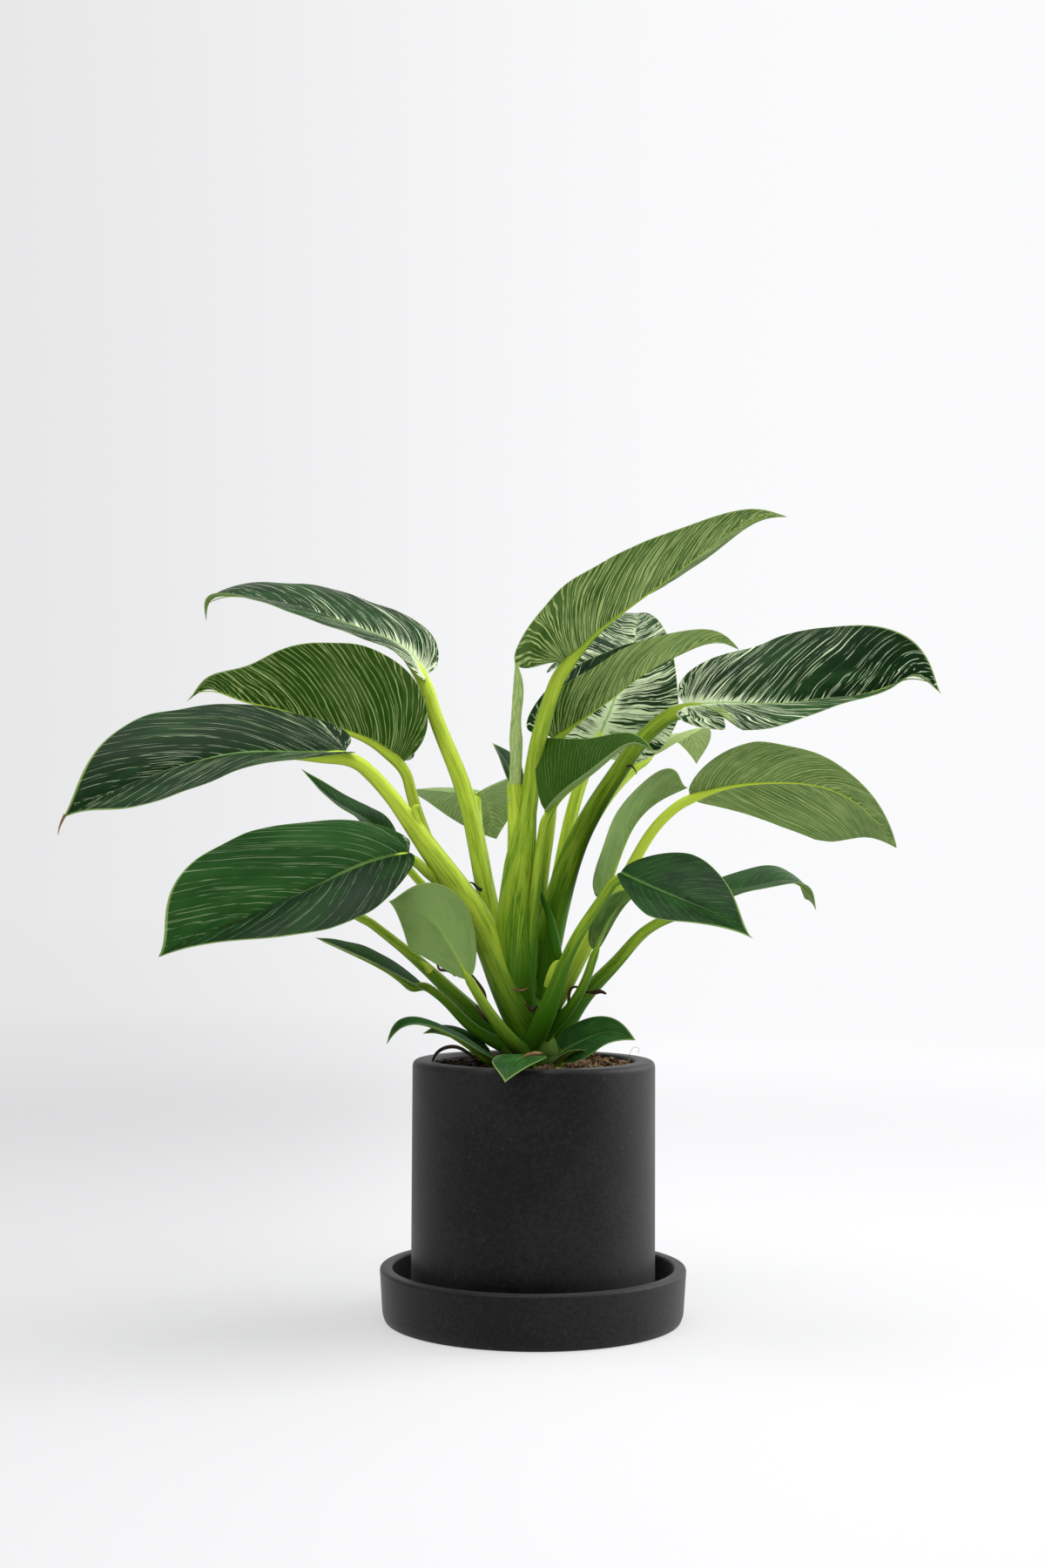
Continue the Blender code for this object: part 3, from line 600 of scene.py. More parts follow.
@dataclass(frozen=True)
class Finish:
    """What every finish shares: a name, a way to start its material, and relief."""

    name: str

    def start(self) -> tuple[Material, Graph, Node]:
        """Open a new material.

        Returns:
            The material, its graph and its Principled node.
        """
        material = bpy.data.materials.new(self.name)
        material.use_nodes = True
        return material, Graph(material.node_tree), material.node_tree.nodes["Principled BSDF"]

    @staticmethod
    def bump(g: Graph, shader: Node, height: object, strength: float, depth_mm: float) -> None:
        """Drive the shader's normal from a height, where a height of one is depth_mm deep."""
        node = g.add("ShaderNodeBump", {"Strength": strength, "Distance": depth_mm * MM, "Height": height})
        g.put(shader.inputs["Normal"], node.outputs[0])


@dataclass(frozen=True)
class BladeFinish(Finish):
    """One face of a leaf: two ground colours, cream stripes, side veins, margin and midrib."""

    dark: Colour = (0.004, 0.021, 0.004)
    light: Colour = (0.033, 0.122, 0.022)
    stripe: Colour = (0.70, 0.82, 0.52)
    vein: Colour = (0.06, 0.17, 0.035)
    margin: Colour = (0.40, 0.56, 0.16)
    rib: Colour = (0.21, 0.40, 0.09)
    vein_share: float = 0.14
    stripe_share: float = 0.95
    rib_share: float = 0.75
    margin_share: float = 0.45
    patch_share: float = 0.35
    line_count: float = 17.0
    line_width: float = 0.06
    stripe_scale: float = 205.0
    roughness: float = 0.42
    relief_mm: float = 0.05
    shine: float = 0.055

    def build(self, groups: Groups) -> Material:
        """Make the material.

        Args:
            groups: The shared shader groups.

        Returns:
            The material.
        """
        material, g, shader = self.start()
        look = g.mark("look")
        out = g.group(groups.veins, {"Vein": g.mark("vein"), "Reach": g.mark("reach"), "Look": look,
                                     "Count": self.line_count, "Width": self.line_width,
                                     "Stripe scale": self.stripe_scale})
        tone, cream, _ = g.split(look)
        patchy = g.line(g.minus(out["Patch"], 0.5), self.patch_share, tone, clamp=True)
        skin = g.blend(patchy, self.dark, self.light)
        veined = g.times(g.times(out["Veins"], self.vein_share), g.line(cream, 1.1, 0.1, clamp=True))
        skin = g.blend(veined, skin, self.vein)
        for key, share, colour in (("Stripes", self.stripe_share, self.stripe),
                                   ("Rib", self.rib_share, self.rib),
                                   ("Margin", self.margin_share, self.margin)):
            skin = g.blend(g.times(out[key], share), skin, colour)
        rough = g.span(out["Patch"], 0.0, 1.0, self.roughness - 0.05, self.roughness + 0.07)
        g.fill(shader, {"Base Color": skin, "Specular IOR Level": self.shine, "Roughness": rough})
        self.bump(g, shader, out["Height"], 0.6, self.relief_mm)
        return material


@dataclass(frozen=True)
class StalkFinish(Finish):
    """Petiole skin: bright yellow-green with fine darker lines."""

    light: Colour = (0.53, 0.69, 0.06)
    dark: Colour = (0.060, 0.170, 0.002)
    base: Colour = (0.030, 0.125, 0.003)
    roughness: float = 0.38
    relief_mm: float = 0.15
    shine: float = 0.11

    def build(self, groups: Groups) -> Material:
        """Make the material.

        Args:
            groups: The shared shader groups.

        Returns:
            The material.
        """
        material, g, shader = self.start()
        out = g.group(groups.streaks, {"Stalk": g.mark("stalk")})
        tone, low, _ = g.split(g.mark("look"))
        share = g.line(out["Streaks"], g.line(out["Broad"], 0.30, 0.22), g.times(out["Broad"], 0.16))
        # The tone and the second mark darken the skin: painted shade on the petioles' undersides, towards their
        # foot and at the stem's foot, and the dark bracts' own colour
        skin = g.blend(low, g.blend(g.plus(share, tone, clamp=True), self.light, self.dark), self.base)
        rough = g.span(out["Broad"], 0.0, 1.0, self.roughness, self.roughness + 0.12)
        g.fill(shader, {"Base Color": skin, "Specular IOR Level": self.shine, "Roughness": rough})
        self.bump(g, shader, out["Height"], 0.5, self.relief_mm)
        return material


@dataclass(frozen=True)
class MottledFinish(Finish):
    """A surface of two mixed colours with grain and specks, for ceramic, soil, bark and dry sheath.

    With shaded under 1 it is painted with shade where the plant's shadow falls: it darkens to that share from
    shade_right to shade_left, in metres along X.
    """

    first: Colour
    second: Colour
    speck: Colour
    cloud_scale: float = 300.0
    grain_scale: float = 2500.0
    speck_level: float = 0.68
    roughness: float = 0.7
    relief_mm: float = 0.1
    shine: float = 0.4
    grain_share: float = 1.2
    shaded: float = 1.0
    shade_left: float = -0.030
    shade_right: float = 0.022
    velvet: float = 0.0

    def build(self, groups: Groups) -> Material:
        """Make the material.

        Args:
            groups: The shared shader groups.

        Returns:
            The material.
        """
        material, g, shader = self.start()
        out = g.group(groups.mottle, {"Place": g.object_place(), "Cloud scale": self.cloud_scale,
                                      "Grain scale": self.grain_scale, "Speck level": self.speck_level})
        share = g.line(g.minus(out["Grain"], 0.5), self.grain_share, out["Cloud"], clamp=True)
        skin = g.blend(out["Speck"], g.blend(share, self.first, self.second), self.speck)
        # Painted shade: soil and chips darken towards the left, where the plant's shadow falls
        if self.shaded < 1.0:
            x, _, _ = g.split(g.object_place())
            painted_shade_share = g.span(x, self.shade_left, self.shade_right, self.shaded, 1.0)
            skin = g.blend(1.0, skin, g.vector(painted_shade_share, painted_shade_share, painted_shade_share), "MULTIPLY")
        rough = g.span(out["Cloud"], 0.0, 1.0, self.roughness - 0.04, self.roughness + 0.05)
        g.fill(shader, {"Base Color": skin, "Specular IOR Level": self.shine, "Sheen Weight": self.velvet,
                        "Roughness": rough})
        self.bump(g, shader, out["Grain"], 0.5, self.relief_mm)
        return material


@dataclass(frozen=True)
class FloorFinish(Finish):
    """Studio floor: it takes soft shadows near the part and turns into the surround farther away.

    It glows with painted light, weaker near the part and full farther away. The glow is the surround read in
    the direction (x, y, height), so it follows the floor's own place, and it is brighter to the right. A soft
    painted shade lies behind the part, to its left, and each of its four sides fades over a range in metres.
    """

    height: float = 1.1
    grey: Colour = (0.24, 0.24, 0.243)
    glow: float = 0.62
    near: float = 0.25
    far: float = 2.4
    shade: float = 0.13
    shade_back: tuple[float, float] = (3.0, 0.75)
    shade_front: tuple[float, float] = (-0.34, 0.14)
    shade_right: tuple[float, float] = (0.04, -0.25)
    shade_left: tuple[float, float] = (-4.0, -1.2)

    def build(self, groups: Groups) -> Material:
        """Make the material.

        Args:
            groups: The shared shader groups.

        Returns:
            The material.
        """
        material, g, shader = self.start()
        place = g.object_place()
        x, y, _ = g.split(place)
        level = g.group(groups.backdrop, {"Way": g.vector(x, y, self.height)})["Level"]
        reach = g.add("ShaderNodeVectorMath", {0: place}, operation="LENGTH").outputs["Value"]
        share = g.span(reach, self.near, self.far)
        # Painted shade behind the part, to its left, laid on the painted glow of the surround
        deep = g.times(g.span(y, *self.shade_back), g.span(y, *self.shade_front))
        wide = g.times(g.span(x, *self.shade_right), g.span(x, *self.shade_left))
        painted_glow_level = g.times(level, g.minus(1.0, g.times(g.times(deep, wide), self.shade)))
        strength = g.times(painted_glow_level, g.span(share, 0.0, 1.0, self.glow, 1.0))
        g.fill(shader, {"Base Color": g.blend(share, self.grey, (0.0, 0.0, 0.0)), "Roughness": 1.0,
                        "Specular IOR Level": 0.0, "Emission Color": PALE, "Emission Strength": strength})
        return material


class Finishes:
    """Every material of the part."""

    def __init__(self) -> None:
        """Build the groups, then the materials."""
        self.groups = groups = Groups()
        self.upper = BladeFinish("leaf_upper_face").build(groups)
        self.under = BladeFinish(
            "leaf_lower_face", dark=(0.026, 0.080, 0.004), light=(0.200, 0.320, 0.090),
            stripe=(0.50, 0.63, 0.23), vein=(0.33, 0.46, 0.18), margin=(0.38, 0.52, 0.16),
            rib=(0.36, 0.54, 0.10), vein_share=0.55, stripe_share=0.9, line_count=40.0, line_width=0.14,
            stripe_scale=170.0, roughness=0.5, relief_mm=0.08, shine=0.06).build(groups)
        self.stalk = StalkFinish("petiole_skin").build(groups)
        self.stem = StalkFinish("stem_skin", light=(0.15, 0.25, 0.03), dark=(0.05, 0.12, 0.01),
                                base=(0.008, 0.030, 0.002), roughness=0.7, shine=0.05).build(groups)
        self.pot = MottledFinish(
            "planter_ceramic", (0.0008, 0.0010, 0.0011), (0.0100, 0.0105, 0.0108), (0.022, 0.023, 0.024),
            cloud_scale=14.0, grain_scale=480.0, speck_level=0.80, roughness=0.50, relief_mm=0.08, shine=0.20,
            grain_share=2.4, velvet=0.09).build(groups)
        self.soil = MottledFinish(
            "potting_mix", (0.016, 0.008, 0.005), (0.15, 0.085, 0.047), (0.24, 0.15, 0.09), cloud_scale=240.0,
            grain_scale=1100.0, speck_level=0.64, roughness=0.92, relief_mm=0.8, shine=0.1,
            shaded=0.12).build(groups)
        self.bark = MottledFinish(
            "bark_chip", (0.045, 0.022, 0.011), (0.36, 0.21, 0.12), (0.55, 0.40, 0.28), grain_scale=1600.0,
            speck_level=0.66, roughness=0.85, relief_mm=0.3, shine=0.12, shaded=0.12).build(groups)
        self.dry = MottledFinish("dry_sheath", (0.10, 0.045, 0.018), (0.30, 0.16, 0.06),
                                 (0.05, 0.02, 0.01)).build(groups)
        self.root = MottledFinish("dead_root", (0.010, 0.006, 0.003), (0.060, 0.032, 0.014), (0.09, 0.05, 0.03),
                                  speck_level=0.7, roughness=0.6, shine=0.2).build(groups)
        self.floor = FloorFinish("pale_floor").build(groups)


# The plant

@dataclass(frozen=True)
class LeafShape:
    """One leaf: routes of its midrib and petiole, half widths, bends across, and its colouring.

    A pair holds the left half's value and the right half's. The bends fold, curl and roll are degrees,
    spread evenly from base to tip. The petiole ends at the midrib's start, raised by neck_rise. The outline
    is set by lobe behind the petiole, belly where it is widest, and the fullness of base, full and tip.
    """

    name: str
    rib: Route
    half: tuple[float, float]
    stalk: Route
    radii: tuple[float, ...]
    neck_rise: float = 0
    fold: tuple[float, ...] = (20, 20)
    curl: tuple[float, ...] = (-20, -20)
    roll: tuple[float, ...] = (0, 0)
    lobe: tuple[float, float] = (0.06, 0.06)
    belly: tuple[float, float] = (0.4, 0.4)
    full: tuple[float, float] = (0.34, 0.34)
    base: tuple[float, float] = (0.35, 0.35)
    tip: tuple[float, float] = (0.16, 0.16)
    right_fold: tuple[float, ...] = ()
    notch: tuple[float, float] = (0.0, 0.0)
    wave: tuple[float, float] = (0.0, 0.0)
    spring: tuple[float, float] = (2.9, 2.9)
    tone: float = 0.3
    right_tone: float = -1.0
    right_cream: float = -1.0
    pale: bool = False
    under: float = 0.7
    under_painted_shade: float = 0.0
    cream: float = 0.45
    fan: float = 0.0
    stalk_tone: float = 0.0
    keel: float = 1.0
    slot: str = "leaf_dark"


LEAVES: tuple[LeafShape, ...] = (
    LeafShape("leaf_upper_left", ((-66, 30, 374), (-77, 36, 390), (-101, 44, 402), (-137, 56, 416),
              (-167, 66, 424), (-192, 72, 427), (-202, 74, 424), (-204, 74, 411)), (20, 35), ((-4, 4, 178),
              (-21, 16, 216), (-31, 20, 257), (-43, 24, 308), (-60, 27, 350)), (7, 6, 5.6, 5, 4),
              fold=(20, 19, 19), curl=(-25, -25), roll=(26, 24, 20, 10), lobe=(0.04, 0.0), belly=(0.42, 0.56),
              tip=(0.3, 0.3), tone=0.1, cream=0.4, fan=1.1, stalk_tone=-0.15),
    LeafShape("leaf_left_raised", ((-77, 12, 321), (-94, 10, 333), (-121, 8, 342), (-153, 8, 352),
              (-178, 10, 358), (-192, 10, 363), (-205, 10, 355)), (51, 49), ((-4, 5, 172), (-32, 20, 221),
              (-58, 20, 264), (-70, 18, 293)), (6, 5, 3.8, 3.3), fold=(50, 58, 46), curl=(-12, -12),
              roll=(-22, -24, -14), lobe=(0.02, 0.03), belly=(0.3, 0.34), full=(0.28, 0.16), tip=(-0.05, 0.1),
              under=0.04, cream=0.62, slot="leaf_mid"),
    LeafShape("leaf_left_long", ((-108, -26, 324), (-137, -36, 323), (-164, -46, 322), (-195, -58, 314),
              (-228, -72, 300), (-255, -84, 284)), (33, 43), ((-4, -5, 162), (-15, -14, 187), (-31, -18, 227),
              (-58, -22, 266), (-88, -24, 306)), (9, 9, 8.4, 6.6, 4.6, 4), fold=(23, 21, 27), roll=(30, 36, 40),
              lobe=(0.04, 0.04), belly=(0.7, 0.55), full=(0.2, 0.22), base=(0.75, 0.35), tip=(0.2, 0.22),
              spring=(3.4, 5.0), tone=0.0, cream=0.3, fan=0.45, stalk_tone=-0.15),
    # Painted light: this leaf's right half has a lighter tone that stands for the sheen where that half faces
    # the light
    LeafShape("leaf_left_broad", ((-71, -28, 267), (-94, -46, 261), (-119, -66, 248), (-147, -84, 234),
              (-177, -100, 221), (-198, -110, 210)), (36, 43), ((-4, 1, 170), (-28, -2, 211), (-47, -12, 244),
              (-61, -24, 255)), (6, 4.4, 3.4, 3.2, 3), fold=(27, 30, 40), roll=(52, 52, 45), lobe=(0.0, 0.02),
              belly=(0.36, 0.55), full=(0.34, 0.4), base=(0.6, 0.75), tip=(0.12, 0.25), spring=(3.0, 5.0),
              tone=0.0, right_tone=0.5, right_cream=0.22, cream=0.12, fan=0.1),
    LeafShape("leaf_front_left", ((-37, -45, 197), (-48, -45, 217), (-62, -42, 232), (-82, -38, 239)), (21, 21),
              ((-4, -8, 152), (-13, -29, 161), (-28, -42, 182)), (5, 4.6, 3.2, 2.6), fold=(10, 10),
              roll=(-84, -80), lobe=(0, 0), belly=(0.55, 0.55), full=(0.26, 0.26), base=(0.75, 0.75), under=1.0,
              cream=0.15, keel=0.1, slot="leaf_pale"),
    LeafShape("leaf_back_left_narrow", ((-88, 40, 274), (-102, 52, 288), (-118, 66, 296), (-145, 84, 320)),
              (15, 12), ((-4, 5, 176), (-43, 26, 226), (-72, 34, 254)), (5, 3.4, 2.6, 2.2), neck_rise=3,
              fold=(30, 30), roll=(20, 0, 0), tone=0.5, cream=0.1),
    LeafShape("leaf_low_left_edge", ((-66, -16, 190), (-82, -26, 200), (-100, -38, 209), (-122, -50, 219)),
              (14, 16), ((-8, 1, 152), (-35, -4, 166), (-52, -10, 183)), (5, 3.6, 2.8, 2.4), neck_rise=3,
              roll=(22, 22, 16), tone=0.45, cream=0.1, stalk_tone=0.4),
    LeafShape("leaf_low_left_behind", ((-101, 10, 230), (-118, 20, 242), (-139, 30, 247), (-164, 38, 244),
              (-184, 42, 237)), (30, 30), ((-8, 8, 153), (-33, 10, 172), (-58, 12, 195), (-79, 12, 213)),
              (6, 5.6, 4.2, 3, 2.6), fold=(15, 15), curl=(-25, -25), roll=(20, 20), lobe=(0.0, 0.0),
              base=(0.9, 0.9), tone=0.4, cream=0.3, stalk_tone=0.3),
    LeafShape("leaf_far_back", ((-36, 64, 304), (-33, 84, 307), (-31, 108, 304), (-28, 130, 293),
              (-24, 140, 278)), (43, 43), ((-2, 6, 178), (-22, 30, 226), (-33, 50, 272)), (6, 4.4, 3.4, 3),
              fold=(10, 10), full=(0.34, 0.2), tip=(0.45, 0.16), right_fold=(28, 28), tone=1.0, pale=True,
              under=1.0, cream=0.6, keel=0.3, slot="leaf_pale"),
    LeafShape("leaf_back_tip", ((-12, 40, 306), (-16, 48, 320), (-20, 58, 328), (-26, 72, 336)), (9, 9),
              ((0, 5, 190), (-7, 26, 257)), (5, 3.4, 2.4), fold=(25, 25), curl=(-10, -10), roll=(-20, -20),
              tone=0.1, cream=0.1),
    LeafShape("leaf_top", ((16, -10, 377), (35, -12, 395), (56, -14, 411), (81, -16, 429), (111, -18, 452),
              (130, -18, 461), (145, -18, 461)), (34, 37), ((-4, -6, 172), (-12, -16, 212), (-10, -18, 246),
              (-6, -18, 280), (-2, -16, 308), (2, -15, 333), (9, -12, 357)),
              (6, 10.5, 10.5, 9.5, 5.6, 5, 4.6, 4.2), fold=(40, 36, 8), curl=(-15, -20), roll=(18, 24, 30),
              lobe=(0.08, 0.12), belly=(0.46, 0.16), full=(0.12, 0.34), base=(0.35, 0.0), tip=(0.0, 0.1),
              under=0.34, under_painted_shade=0.3, cream=1.25, stalk_tone=0.22, keel=0.5, slot="leaf_mid"),
    LeafShape("leaf_back_round", ((37, 68, 334), (44, 70, 350), (52, 76, 370), (60, 88, 393), (65, 108, 413),
              (67, 134, 425), (67, 158, 426)), (42, 44), ((1, 6, 184), (11, 32, 236), (22, 52, 289),
              (29, 60, 313)), (6, 4.6, 4, 4, 3.8), fold=(5, 5), curl=(-10, -20), lobe=(0.08, 0.03),
              belly=(0.24, 0.2), full=(0.25, 0.02), base=(0.35, 0.1), tip=(0.16, -0.1), spring=(1.8, 1.8),
              tone=0.15, cream=1.0, fan=1.6, slot="leaf_mid"),
    LeafShape("leaf_centre_right", ((6, -34, 290), (17, -38, 300), (30, -42, 310), (42, -43, 320),
              (55, -44, 328), (68, -44, 322)), (46, 22), ((-5, -8, 176), (-3, -15, 206), (0, -25, 243),
              (3, -32, 271)), (5, 4.6, 3.4, 2.8, 2.6), fold=(38, 36, 20), roll=(-29, -28, -18), lobe=(0.0, 0.0),
              belly=(0.22, 0.4), full=(0.0, 0.34), base=(0.95, 0.8), tip=(0.0, 0.16), tone=-0.12, pale=True,
              under=0.9, cream=0.1, stalk_tone=0.3, keel=0.3),
    LeafShape("leaf_inner_folded", ((10, 22, 336), (26, 16, 346), (44, 10, 358), (64, 4, 373), (88, -2, 385),
              (106, -6, 390), (118, -8, 385)), (38, 26), ((1, 4, 196), (4, 14, 251), (9, 18, 287),
              (10, 21, 312)), (6, 4.6, 3.8, 3.6, 3.4), fold=(60, 58, 40), curl=(-15, -20), roll=(-8, -8, -4),
              lobe=(0.1, 0.02), belly=(0.22, 0.2), full=(0.2, 0.42), base=(0.35, 0.1), tip=(0.02, 0.45),
              tone=0.05, right_cream=1.4, under=1.0, under_painted_shade=0.95, keel=0.35),
    LeafShape("leaf_right_large", ((88, 6, 354), (111, 10, 356), (142, 14, 356), (174, 18, 360), (207, 22, 366),
              (226, 25, 374), (242, 26, 363)), (51, 40), ((1, 2, 181), (9, 4, 221), (18, 4, 256), (31, 4, 287),
              (50, 5, 317), (67, 6, 339)), (8, 8.6, 7.8, 6.4, 5.6, 5, 4.4), fold=(16, 32, 41),
              roll=(-41, -38, -36), lobe=(0.02, 0.06), belly=(0.64, 0.22), full=(0.2, 0.22), tip=(0.08, 0.02),
              notch=(0.0, 0.8), wave=(0.5, 0.0), tone=0.05, right_tone=0.25, right_cream=0.6, cream=0.5,
              fan=1.3, stalk_tone=0.4),
    LeafShape("leaf_right_pale", ((88, -36, 299), (105, -46, 304), (132, -62, 306), (158, -80, 302),
              (179, -96, 287), (191, -104, 269)), (47, 31), ((0, -6, 160), (18, -20, 193), (37, -22, 229),
              (53, -24, 256), (69, -29, 283)), (5, 5, 4.4, 3.4, 3.2, 2.8), fold=(5, 5), curl=(-10, -10),
              roll=(42, 42, 45), lobe=(0.0, 0.0), belly=(0.45, 0.38), full=(0.26, 0.12), base=(0.95, 0.75),
              tip=(0.3, 0.45), under=0.62, cream=0.9, stalk_tone=-0.5, keel=0.7, slot="leaf_pale"),
    LeafShape("leaf_right_edge_on", ((38, -8, 241), (47, -6, 261), (57, -2, 283), (71, 4, 297), (90, 12, 306)),
              (22, 30), ((2, 0, 178), (25, -8, 214)), (5, 3.6, 3), fold=(32, 32), roll=(24, 20, 20),
              lobe=(0, 0), belly=(0.34, 0.62), full=(0.12, 0.34), base=(0.2, 0.2), tip=(0.0, 0.16), cream=0.4,
              keel=0.5, slot="leaf_pale"),
    LeafShape("leaf_front_right", ((47, -58, 256), (68, -76, 246), (89, -94, 237), (102, -106, 230),
              (114, -114, 221)), (30, 23), ((-3, -8, 153), (9, -30, 183), (21, -42, 215), (35, -50, 238)),
              (6, 6, 3.8, 3.2, 2.8), fold=(18, 18), roll=(-34, -36), lobe=(0.0, 0.0), belly=(0.3, 0.42),
              full=(0.3, 0.24), base=(0.6, 0.8), tip=(-0.05, 0.02), tone=0.25, cream=0.08, stalk_tone=0.45),
    LeafShape("leaf_low_right", ((89, 12, 233), (111, 18, 244), (132, 25, 249), (151, 30, 252), (162, 32, 247),
              (168, 32, 234)), (30, 19), ((7, 6, 146), (17, 8, 165), (29, 8, 184), (49, 8, 205), (66, 10, 223)),
              (5, 6, 4.8, 3.8, 3.2, 2.8), fold=(20, 20, 10), roll=(-20, -14, -10), belly=(0.9, 0.56),
              full=(0.06, 0.24), base=(1.05, 0.4), tip=(0.9, 0.16), tone=0.5, cream=0.1, stalk_tone=0.3),
    LeafShape("leaf_low_right_small", ((34, -36, 212), (41, -37, 228), (49, -37, 239), (61, -36, 247)), (4, 9),
              ((2, -3, 158), (26, -28, 189)), (5, 3, 2.4), curl=(-10, -10), roll=(70, 70), lobe=(0, 0),
              tone=0.6, under=0.3, cream=0.1, stalk_tone=0.4, keel=0.1, slot="leaf_mid"),
    LeafShape("leaf_far_right", ((70, 90, 328), (85, 108, 341), (101, 130, 346), (107, 152, 328)), (18, 17),
              ((1, 6, 182), (12, 28, 226), (26, 50, 268), (47, 70, 305)), (6, 5, 4, 3.5, 3), fold=(10, 10),
              roll=(10, 10), lobe=(0.0, 0.0), tone=1.0, pale=True, under=1.0, cream=2.0, fan=2.5, keel=0.3,
              slot="leaf_pale"),
)

SHOOTS: tuple[LeafShape, ...] = (
    LeafShape("shoot_left_front", ((-24, -30, 151), (-43, -38, 163), (-61, -44, 171), (-74, -48, 170),
              (-82, -50, 160)), (13, 13), ((-22, -27, 128), (-22, -27, 138), (-22, -27, 146)), (2, 2, 2),
              curl=(-30, -30), roll=(10, 10), tone=0.6, cream=0.05),
    LeafShape("shoot_left_back", ((-28, -6, 152), (-40, -5, 160), (-52, -5, 164), (-64, -7, 163)), (10, 10),
              ((-26, -6, 128), (-26, -6, 138), (-26, -6, 146)), (2, 2, 2), curl=(-30, -30), roll=(20, 20),
              cream=0.05),
    LeafShape("shoot_right", ((16, -25, 155), (30, -34, 163), (43, -42, 167), (56, -50, 163)), (15, 16),
              ((14, -23, 128), (14, -23, 138), (14, -23, 146)), (2, 2, 2), curl=(-30, -30), roll=(-52, -50),
              belly=(0.18, 0.4), full=(0.3, 0.2), base=(0.1, 0.35), tone=0.6, cream=0.05),
    LeafShape("shoot_right_low", ((12, -30, 149), (18, -36, 154), (25, -40, 157), (32, -43, 156)), (5, 6),
              ((10, -26, 128), (10, -26, 136), (11, -28, 144)), (1.6, 1.6, 1.6), curl=(-30, -30),
              roll=(-10, -10), tone=0.25, cream=0.05),
    LeafShape("shoot_over_rim", ((-2, -47, 154), (-8, -62, 154), (-13, -78, 150), (-16, -86, 143)), (14, 14),
              ((-1, -43, 128), (-1, -43, 138), (-1, -43, 146)), (2, 2, 2), fold=(10, 10), tone=0.55,
              cream=0.05),
)


class Trim(Enum):
    """Kinds of small bits on the plant, each one piece."""

    DRY = "dry_bits"
    ROOT = "dead_roots"
    SHEATH = "sheath_tips"
    BRACT = "dark_bracts"


@dataclass(frozen=True)
class Bit:
    """One small bit of trim: a tapered tube along a route, with radii spread evenly along it."""

    route: Route
    radii: tuple[float, ...]


BITS: dict[Trim, tuple[Bit, ...]] = {
    Trim.DRY: (
        Bit(((-8.1, -50, 151.2), (-3.9, -54, 154.4), (-0.3, -55, 155.6), (4.5, -51, 155.6)),
            (0.5, 1.3, 1.4, 0.5)),
        Bit(((54.2, -4, 147.5), (56.0, -4, 153.5), (58.4, -4, 155.6), (60.6, -4, 154.2), (59.6, -4, 152.0)),
            (0.1, 0.1)),
        Bit(((-254.0, -83.6, 285.4), (-256.6, -84.5, 279.0), (-257.4, -85.0, 274.5)), (0.9, 0.6, 0.15)),
        Bit(((-18.9, -17.5, 199.3), (-16.4, -20.5, 193.5), (-12.4, -21.5, 189.9), (-7.4, -21.5, 188.6),
            (-3.2, -19, 190.4)), (0.3, 0.7, 0.9, 0.8, 0.4)),
    ),
    Trim.ROOT: (
        Bit(((52.0, 2, 317.0), (55.4, 0, 318.0), (57.8, -1, 316.0), (59.0, -2, 312.8)), (0.9, 0.6, 0.2)),
        Bit(((-31.0, 0, 245.5), (-33.2, -2, 246.8), (-35.7, -4, 249.3), (-38.2, -5, 249.8)), (1.2, 0.8, 0.3)),
        Bit(((19.6, -22, 179.5), (19.8, -25, 187.1), (21.8, -26, 190.8), (25.3, -27, 190.4), (26.8, -26, 187.2),
            (24.2, -24, 183.6)), (0.9, 0.9, 0.8, 0.7, 0.6, 0.4)),
        Bit(((26.5, 0, 187.5), (34.5, -4, 186.9), (38.4, -5, 187.3), (41.5, -5, 186.0)), (0.7, 0.8, 1.5, 0.6)),
        Bit(((-54.8, -36, 204.2), (-53.0, -37, 200.9), (-49.6, -37, 200.5), (-44.5, -34, 197.5)),
            (0.4, 0.9, 0.8, 0.7)),
        Bit(((-35.4, -22, 197.0), (-31.9, -26, 192.7), (-29.0, -26, 188.2), (-27.4, -22, 181.5)),
            (0.7, 1.0, 1.1, 0.8)),
        Bit(((-32.6, -26, 180.6), (-29.7, -30, 175.8), (-25.3, -28, 170.8)), (0.5, 0.9, 0.6)),
        Bit(((-58.2, -13, 146.9), (-56.0, -16, 151.9), (-52.0, -18, 155.2), (-46.5, -20, 156.6),
            (-41.5, -22, 155.7), (-34.0, -25, 150.8)), (0.5, 0.9, 1.1, 1.1, 1.0, 0.8)),
        Bit(((-4.7, -19, 180.9), (-1.0, -22, 177.9), (2.0, -19, 179.9)), (0.6, 1.4, 0.5)),
    ),
    Trim.SHEATH: (
        Bit(((7.9, -16, 190.9), (9.8, -19, 198.9), (12.4, -20, 204.6), (14.5, -20, 205.6)),
            (2.6, 2.6, 1.9, 0.5)),
        Bit(((-66.2, -24, 281.0), (-68.3, -26, 288.2), (-68.0, -27, 292.4), (-65.6, -27, 292.8)),
            (2.6, 2.4, 1.8, 1.0)),
        Bit(((-59.6, -20, 199.4), (-62.0, -22, 202.7), (-65.1, -23, 205.2)), (2.4, 1.6, 0.4)),
    ),
    Trim.BRACT: (
        Bit(((16.4, -8, 199.0), (13.9, -10, 206.5), (11.3, -11, 219.0), (8.3, -11, 231.5), (2.2, -11, 245.9)),
            (1.2, 2.6, 2.8, 2.4, 1.8, 0.5)),
    ),
}


